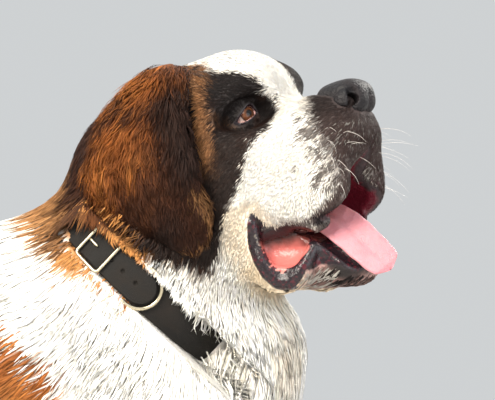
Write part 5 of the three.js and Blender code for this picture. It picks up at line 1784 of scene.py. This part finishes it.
class Nodes:
    """A short way to write a material's nodes. A value may be a number, a socket or a node."""

    def __init__(self, name):
        self.material = bpy.data.materials.new(name)
        self.material.use_nodes = True
        self.tree = self.material.node_tree
        self.shader = self.tree.nodes["Principled BSDF"]

    def add(self, kind, inputs=None, **values):
        node = self.tree.nodes.new(kind)
        for key, value in values.items():
            setattr(node, key, value)
        for key, value in (inputs or {}).items():
            self.put(node.inputs[key], value)
        return node

    def put(self, socket, value):
        if isinstance(value, bpy.types.NodeSocket):
            self.tree.links.new(value, socket)
        elif isinstance(value, bpy.types.Node):
            self.tree.links.new(value.outputs[0], socket)
        else:
            socket.default_value = value

    def attribute(self, name, output="Color"):
        return self.add("ShaderNodeAttribute", attribute_name=name).outputs[output]

    def place(self):
        return self.add("ShaderNodeTexCoord").outputs["Object"]

    def noise(self, scale, detail, at=None):
        node = self.add("ShaderNodeTexNoise", {"Scale": scale, "Detail": detail, "Vector": at or self.place()})
        return node.outputs["Fac"]

    def cells(self, scale):
        return self.add("ShaderNodeTexVoronoi", {"Scale": scale, "Vector": self.place()}).outputs[0]

    def parts(self, vector):
        return self.add("ShaderNodeSeparateXYZ", {0: vector}).outputs

    def stretched(self, scale, at=None):
        return self.add("ShaderNodeMapping", {"Vector": at or self.place(), "Scale": scale})

    def ramp(self, value, *stops):
        node = self.add("ShaderNodeValToRGB")
        while len(node.color_ramp.elements) < len(stops):
            node.color_ramp.elements.new(0.5)
        for element, (place, colour) in zip(node.color_ramp.elements, stops):
            element.position = place
            element.color = (*colour, 1)
        self.put(node.inputs[0], value)
        return node.outputs[0]

    def span(self, value, low, high, to_low=0.0, to_high=1.0):
        return self.add("ShaderNodeMapRange", {0: value, 1: low, 2: high, 3: to_low, 4: to_high}).outputs[0]

    def math(self, operation, a, b=0.0):
        return self.add("ShaderNodeMath", {0: a, 1: b}, operation=operation).outputs[0]

    def mix(self, t, a, b, blend="MIX"):
        node = self.add("ShaderNodeMix", data_type="RGBA", blend_type=blend)
        for i, value in ((0, t), (6, a), (7, b)):
            self.put(node.inputs[i], (*value, 1) if isinstance(value, tuple) else value)
        return node.outputs[2]

    def bump(self, height, distance, strength=1.0, normal=None):
        node = self.add("ShaderNodeBump", {"Height": height, "Distance": distance, "Strength": strength})
        if normal is not None:
            self.put(node.inputs["Normal"], normal)
        return node.outputs[0]

    def set(self, **values):
        names = {"color": "Base Color", "rough": "Roughness", "normal": "Normal", "metal": "Metallic",
                 "specular": "Specular IOR Level", "coat": "Coat Weight", "coat_rough": "Coat Roughness",
                 "subsurface": "Subsurface Weight", "reach": "Subsurface Scale"}
        for key, value in values.items():
            self.put(self.shader.inputs[names[key]], value)
        return self.material


# Pieces


def make(name, points, faces, material, replaces=(), slot=None):
    """A Blender object from points in millimetres. It rides on the dog."""
    mesh = bpy.data.meshes.new(name)
    points = np.asarray(points, float) / 1000
    faces = np.asarray(faces)
    n, size = faces.shape
    mesh.vertices.add(len(points))
    mesh.vertices.foreach_set("co", points.astype(np.float32).ravel())
    mesh.loops.add(n * size)
    mesh.loops.foreach_set("vertex_index", faces.astype(np.int32).ravel())
    mesh.polygons.add(n)
    mesh.polygons.foreach_set("loop_start", np.arange(0, n * size, size, dtype=np.int32))
    mesh.polygons.foreach_set("use_smooth", np.ones(n, bool))
    mesh.update(calc_edges=True)
    mesh.validate()
    obj = bpy.data.objects.new(name, mesh)
    bpy.context.scene.collection.objects.link(obj)
    mesh.materials.append(material)
    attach(obj, "root")
    if replaces:
        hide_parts(*replaces)
    return obj


def paint(obj, name, colours):
    """A colour for each point."""
    layer = obj.data.color_attributes.new(name, "FLOAT_COLOR", "POINT")
    rgba = np.ones((len(colours), 4), np.float32)
    rgba[:, : colours.shape[1]] = colours
    layer.data.foreach_set("color", rgba.ravel())


def marked(obj, name, values, kind="FLOAT_VECTOR", field="vector"):
    """A vector or a number for each point that the material reads."""
    layer = obj.data.attributes.new(name, kind, "POINT")
    layer.data.foreach_set(field, np.asarray(values, np.float32).ravel())


# The skin

points, faces = skin_mesh()
normals = normals_of(points, faces)
coat_colour = markings(points, ear_share(points))
skin_colour, wetness = bare_skin(points, normals, coat_colour)

m = Nodes("skin")
tint = m.attribute("Tint")
wet = m.attribute("Wet", "Fac")
hairs = m.noise(900, 2, m.stretched((1, 1, 0.35)))
lumps = m.noise(260, 3)
tone = m.mix(m.span(hairs, 0.35, 0.7, 0.0, 0.5), tint, m.mix(1.0, tint, (0.55, 0.5, 0.48), "MULTIPLY"))
m.set(
    color=m.mix(wet, tone, tint),
    rough=m.span(wet, 0, 1, 0.75, 0.2),
    normal=m.bump(m.math("ADD", m.math("MULTIPLY", hairs, 0.5), lumps), 0.0011, 0.6),
    specular=0.35,
)
flesh = ["head", "jaw", "neck", "trunk", "tail", "ear_left", "ear_right"]
for limb in ("foreleg", "forepaw", "hindleg", "hindpaw"):
    flesh += [limb + "_left", limb + "_right"]
skin_piece = make("skin", points, faces, m.material, replaces=flesh, slot="coat_white")
paint(skin_piece, "Tint", skin_colour)
paint(skin_piece, "Wet", np.repeat(wetness[:, None], 3, 1))

# The coat

m = Nodes("coat")
tint = m.attribute("Tint")
strand = m.add("ShaderNodeUVMap", uv_map="Strand").outputs[0]
seed = m.attribute("Seed", "Fac")
across, along, _ = m.parts(strand)
hair_place = m.add("ShaderNodeCombineXYZ", {
    0: m.math("MULTIPLY", across, 3.5),
    1: m.math("MULTIPLY", along, 0.7),
    2: m.math("MULTIPLY", seed, 90.0),
}).outputs[0]
hairs = m.noise(1.6, 2, hair_place)
pale = m.span(m.add("ShaderNodeRGBToBW", {0: tint}), 0.08, 0.5)
streak = m.mix(pale, (0.55, 0.5, 0.47), (0.96, 0.93, 0.89))
tone = m.mix(m.span(hairs, 0.3, 0.72), m.mix(1.0, tint, streak, "MULTIPLY"), tint)
# Light falls on a tuft mostly as it would on the skin below it
lay = m.attribute("Lay", "Vector")
own = m.add("ShaderNodeNewGeometry").outputs["Normal"]
soft = m.add("ShaderNodeMix", {0: 0.88, 4: own, 5: lay}, data_type="VECTOR").outputs[1]
soft = m.add("ShaderNodeVectorMath", {0: soft}, operation="NORMALIZE").outputs[0]
m.set(
    color=tone,
    rough=m.span(hairs, 0.2, 0.8, 0.62, 0.48),
    normal=m.bump(hairs, 0.0008, 0.5, soft),
    specular=0.12,
)
coat_material = m.material


def coat_piece(name, batches):
    """One piece of the coat, with its colours, its unwrap and what its material reads."""
    points, faces, *rest = zip(*batches)
    points, faces = joined(zip(points, faces))
    shade, unwrap, strand, lay, seed = map(np.concatenate, rest)
    obj = make(name, points, faces, coat_material, slot=COAT_SLOTS[name.split("_")[1]])
    paint(obj, "Tint", shade)
    loops = np.empty(len(obj.data.loops), np.int32)
    obj.data.loops.foreach_get("vertex_index", loops)
    for layer_name, values in (("OFBake", unwrap), ("Strand", strand)):
        layer = obj.data.uv_layers.new(name=layer_name)
        layer.data.foreach_set("uv", values[loops].astype(np.float32).ravel())
    marked(obj, "Lay", lay)
    marked(obj, "Seed", seed, "FLOAT", "value")


COAT_SLOTS = {"head": "coat_white", "neck": "coat_white", "legs": "coat_white",
              "body": "coat_red", "tail": "coat_red", "ear": "coat_dark"}
for group, batches in sorted(coat_tufts(points, faces).items()):
    coat_piece("coat_" + group, batches)


# The materials and pieces that aren't flesh


def nose_leather():
    m = Nodes("nose_leather")
    stain = m.noise(60, 3)
    height = m.math("ADD", m.math("MULTIPLY", m.cells(700.0), 0.6), m.cells(420.0))
    # Painted shade: the leather darkens where it lies deep in the nostrils and slits
    deep = m.parts(m.attribute("RecessShade", "Vector"))[0]
    leather = m.mix(m.span(stain, 0.35, 0.7), (0.004, 0.0035, 0.0045), (0.015, 0.011, 0.012))
    return m.set(
        color=m.mix(deep, leather, (0.0015, 0.001, 0.001)),
        rough=m.span(stain, 0.3, 0.7, 0.42, 0.6),
        normal=m.bump(height, 0.0008, 0.7),
        specular=0.26,
    )


def eye_material():
    """Pupil, iris, limbus and the pinkish white, by how far a point is from where the eye looks."""
    m = Nodes("eye")
    across, up, ahead = m.parts(m.attribute("Gaze", "Vector"))
    flat = m.add("ShaderNodeCombineXYZ", {0: across, 1: up}).outputs[0]
    off_axis = m.add("ShaderNodeVectorMath", {0: flat}, operation="LENGTH").outputs["Value"]
    spoke = m.add("ShaderNodeVectorMath", {0: flat}, operation="NORMALIZE").outputs[0]
    wide_spoke = m.add("ShaderNodeVectorMath", {0: spoke, 1: (1.6, 1.6, 1.6)}, operation="MULTIPLY")
    fibres = m.noise(14, 3, wide_spoke)
    in_front = m.span(ahead, -0.1, 0.1)
    place = m.math("SUBTRACT", 1.0, m.math("MULTIPLY", in_front, m.math("SUBTRACT", 1.0, off_axis)))
    tone = m.ramp(
        place,
        (0.0, (0.002, 0.002, 0.002)), (0.2, (0.003, 0.002, 0.002)), (0.26, (0.07, 0.026, 0.012)),
        (0.44, (0.16, 0.06, 0.027)), (0.58, (0.085, 0.03, 0.014)), (0.65, (0.014, 0.007, 0.006)),
        (0.72, (0.5, 0.37, 0.33)), (0.88, (0.6, 0.46, 0.42)),
    )
    darker = m.mix(1.0, tone, (0.35, 0.3, 0.28), "MULTIPLY")
    return m.set(
        color=m.mix(m.span(fibres, 0.3, 0.75, 0.0, 0.6), tone, darker),
        rough=0.5, specular=0.0, coat=0.5, coat_rough=0.03,
    )


def tongue_material():
    m = Nodes("tongue")
    lie_on = m.attribute("Lie", "Vector")
    along = m.parts(lie_on)[0]
    papillae = m.cells(900.0)
    creases = m.noise(5, 3, m.stretched((2.6, 1.2, 0.0), lie_on))
    blotch = m.noise(70, 3)
    pink = m.mix(m.span(blotch, 0.35, 0.7), (0.5, 0.185, 0.212), (0.55, 0.235, 0.262))
    root_tone = m.mix(m.span(along, 3.0, 1.6), pink, (0.46, 0.16, 0.14))
    return m.set(
        color=m.mix(m.span(creases, 0.56, 0.66, 0.0, 0.3), root_tone, (0.62, 0.24, 0.27)),
        rough=m.span(blotch, 0.3, 0.7, 0.32, 0.5),
        normal=m.bump(m.math("ADD", papillae, m.math("MULTIPLY", creases, 1.5)), 0.0007, 0.5),
        subsurface=0.18, reach=0.004, specular=0.45,
    )


def tooth_material():
    m = Nodes("tooth")
    return m.set(color=m.mix(m.noise(300, 3), (0.74, 0.66, 0.5), (0.84, 0.79, 0.68)), rough=0.25,
                 normal=m.bump(m.noise(700, 2), 0.0003, 0.4), coat=0.4, coat_rough=0.1)


def claw_material():
    m = Nodes("claw")
    grain = m.noise(500, 3, m.stretched((0.12, 1, 1)))
    return m.set(color=m.mix(grain, (0.03, 0.024, 0.02), (0.13, 0.1, 0.078)),
                 rough=m.span(grain, 0.3, 0.7, 0.3, 0.5), normal=m.bump(grain, 0.0006, 0.5))


def whisker_material():
    m = Nodes("whisker")
    return m.set(color=m.mix(m.noise(400, 2), (0.78, 0.74, 0.68), (0.6, 0.55, 0.5)), rough=0.4, specular=0.5)


def leather_material():
    m = Nodes("collar_leather")
    across = m.parts(m.attribute("Flat", "Vector"))[1]
    grain = m.noise(1500, 3)
    pores = m.cells(1100.0)
    worn = m.noise(45, 4)
    rim = m.span(m.math("ABSOLUTE", across), 15.5, 19.0)
    wear = m.math("MULTIPLY", m.span(worn, 0.45, 0.75), m.math("ADD", m.math("MULTIPLY", rim, 0.8), 0.35))
    return m.set(
        color=m.mix(wear, m.mix(grain, (0.004, 0.0035, 0.003), (0.012, 0.01, 0.008)), (0.032, 0.023, 0.017)),
        rough=m.span(worn, 0.3, 0.7, 0.6, 0.85),
        normal=m.bump(m.math("ADD", m.math("MULTIPLY", grain, 0.7), pores), 0.0006, 0.7),
        specular=0.25,
    )


def metal_material():
    m = Nodes("collar_metal")
    scratch = m.noise(220, 4, m.stretched((1, 6, 1)))
    tarnish = m.noise(90, 3)
    return m.set(
        color=m.mix(m.span(tarnish, 0.35, 0.7), (0.6, 0.53, 0.38), (0.42, 0.37, 0.26)),
        metal=1.0, rough=m.span(scratch, 0.3, 0.7, 0.2, 0.4), normal=m.bump(scratch, 0.0002, 0.5),
    )


def whisker_roots():
    """Places on both sides of the muzzle, in rows, on the skin."""
    rng = np.random.default_rng(41)
    found = []
    for side in (1, -1):
        for row in range(5):
            for k in range(5):
                hx = 68 + 6 * k + rng.normal(0, 2.5)
                hz = -42 - 13 * row - 1.5 * k + rng.normal(0, 2.5)
                start = np.array([[hx, side * 70.0, hz]])
                for _ in range(60):
                    start[0, 1] -= side * 0.7 * np.clip(skin(*to_world(start).T)[0], -4, 4)
                if abs(start[0, 1]) > 12 and abs(skin(*to_world(start).T)[0]) < 1.5:
                    length, tilt, droop = rng.uniform(20, 44), rng.normal(0, 0.14), rng.uniform(0.3, 1.1)
                    found.append((start, side, row, k, length, tilt, droop))
    return found


def whisker_mesh():
    """Thin tapered hairs that bend back and down."""
    found = []
    for start, side, row, k, length, tilt, droop in whisker_roots():
        length = length * (0.7 + 0.08 * k)
        way = unit(np.array([0.55 + 0.12 * k, side * (1.0 - 0.1 * k), -0.16 - 0.1 * row + tilt]))
        t = np.linspace(0, 1, 9)[:, None]
        bend = np.array([-0.25, 0, -0.28]) * length * droop
        path = np.concatenate([start - way * 2, start + way * length * t + bend * t ** 2])
        found.append(round_bar(to_world(path), 0.24 * np.linspace(1, 0.15, 10), 5))
    return joined(found)


nose_points, nose_faces = nose_mesh()
# How deep each point lies in the nostrils and slits, for painted shade there
nostril_shade = smooth(2.0, 7.0, -nose_solid(*nose_points.T))[:, None] * np.ones(3)
nose = make("nose_leather", to_world(nose_points), nose_faces, nose_leather(), ["nose"], "nose_leather")
marked(nose, "RecessShade", nostril_shade)
iris = eye_material()
for side, name in ((1, "left"), (-1, "right")):
    *globe, gaze_place = globe_mesh(side)
    marked(make("eyeball_" + name, *globe, iris, replaces=["eye_" + name], slot="eye"), "Gaze", gaze_place)
*tongue, tongue_marks = tongue_mesh()
marked(make("tongue_skin", *tongue, tongue_material(), replaces=["tongue"], slot="tongue"), "Lie", tongue_marks)
make("cheek_teeth", *tooth_mesh(), tooth_material(), slot="tooth")
horn = claw_material()
for side, side_name in ((1, "left"), (-1, "right")):
    for end, foot_at, shift in (("fore", FORELEG[-1], -FORE_STRIDE), ("hind", HINDLEG[-1], HIND_STRIDE)):
        for i, (toe_x, toe_y) in enumerate(TOES):
            claw_x = foot_at[1] + 16 + side * shift + toe_x
            shape = claw_mesh(claw_x, side * (foot_at[2] + toe_y), side * toe_y * 0.004)
            where = f"{end}_{side_name}_{i + 1}"
            make("horn_" + where, *shape, horn, replaces=["claw_" + where], slot="claw")
make("whiskers", *whisker_mesh(), whisker_material(), slot="whisker")
leather = leather_material()
for name, (*collar_shape, flat_place), old in (
    ("collar_strap", band_mesh(), "collar_band"),
    ("collar_tongue", strap_mesh(), "collar_strap_end"),
):
    marked(make(name, *collar_shape, leather, replaces=[old], slot="collar_leather"), "Flat", flat_place)
brass = metal_material()
for name, shape, old in (
    ("buckle_bar", buckle_mesh(), "buckle_frame"),
    ("buckle_prong", pin_mesh(), "buckle_pin"),
    ("half_ring", ring_mesh(), "collar_ring"),
):
    make(name, *shape, brass, replaces=[old], slot="collar_metal")


# Floor, light and camera


def area_light(name, at, size, watts, colour, aim):
    """A round lamp that points at a place."""
    lamp = bpy.data.lights.new(name, "AREA")
    lamp.shape = "DISK"
    lamp.size = size
    lamp.energy = watts
    lamp.color = colour
    obj = bpy.data.objects.new(name, lamp)
    obj.location = at
    obj.rotation_euler = (Vector(aim) - Vector(at)).to_track_quat("-Z", "Y").to_euler()
    bpy.context.scene.collection.objects.link(obj)


CAMERA_TURN = math.radians(4)  # the camera looks along +Y, turned this far to the left
CAMERA_FAR = 2600.0  # from the head, at one millimetre to a pixel there
PHOTO_WIDE = 495  # pixels
PHOTO_MIDDLE = (395.5, 819.0)  # the place in the photo's middle: to the camera's right, and up
SENSOR = 36
right = np.array([math.cos(CAMERA_TURN), math.sin(CAMERA_TURN), 0])
ahead = np.array([-math.sin(CAMERA_TURN), math.cos(CAMERA_TURN), 0])
eye_point = right * PHOTO_MIDDLE[0] + np.array([0, 0, PHOTO_MIDDLE[1]]) + ahead * (HEAD_AT @ ahead - CAMERA_FAR)
camera_data = bpy.data.cameras.new("camera")
camera_data.sensor_width = SENSOR
camera_data.lens = SENSOR * CAMERA_FAR / PHOTO_WIDE
camera_data.clip_end = 50
camera = bpy.data.objects.new("camera", camera_data)
camera.location = Vector(eye_point / 1000)
camera.rotation_euler = (math.radians(90), 0, CAMERA_TURN)
bpy.context.scene.collection.objects.link(camera)
bpy.context.scene.camera = camera

world = bpy.data.worlds.new("studio")
bpy.context.scene.world = world
world.use_nodes = True
sky = world.node_tree.nodes
up = sky.new("ShaderNodeSeparateXYZ")
rise = sky.new("ShaderNodeMapRange")
tone = sky.new("ShaderNodeMix")
tone.data_type = "RGBA"
tone.inputs[6].default_value = (0.62, 0.64, 0.65, 1)  # about the horizon
tone.inputs[7].default_value = (1.36, 1.35, 1.34, 1)  # overhead
for start, end in (
    (sky.new("ShaderNodeTexCoord").outputs["Generated"], up.inputs[0]), (up.outputs[2], rise.inputs[0]),
    (rise.outputs[0], tone.inputs[0]), (tone.outputs[2], sky["Background"].inputs[0]),
):
    world.node_tree.links.new(start, end)
rise.inputs[1].default_value, rise.inputs[2].default_value = 0.1, 0.5
focus = (0.36, -0.06, 0.82)
area_light("key", (-1.5, -3.0, 3.1), 2.4, 318, (1.0, 0.94, 0.84), focus)
area_light("fill", (2.6, -2.2, 1.2), 2.4, 45, (0.92, 0.95, 1.0), focus)
area_light("rim", (2.0, 1.5, 2.3), 1.0, 60, (1.0, 0.96, 0.9), focus)

m = Nodes("floor")
m.set(color=m.mix(m.noise(6, 3), (0.54, 0.53, 0.515), (0.6, 0.59, 0.575)), rough=0.85)
floor_mesh = bpy.data.meshes.new("floor")
floor_mesh.from_pydata([(-6, -6, 0), (6, -6, 0), (6, 6, 0), (-6, 6, 0)], [], [(0, 1, 2, 3)])
floor_mesh.materials.append(m.material)
floor = bpy.data.objects.new("floor", floor_mesh)
bpy.context.scene.collection.objects.link(floor)
bpy.context.scene.view_settings.view_transform = "Standard"
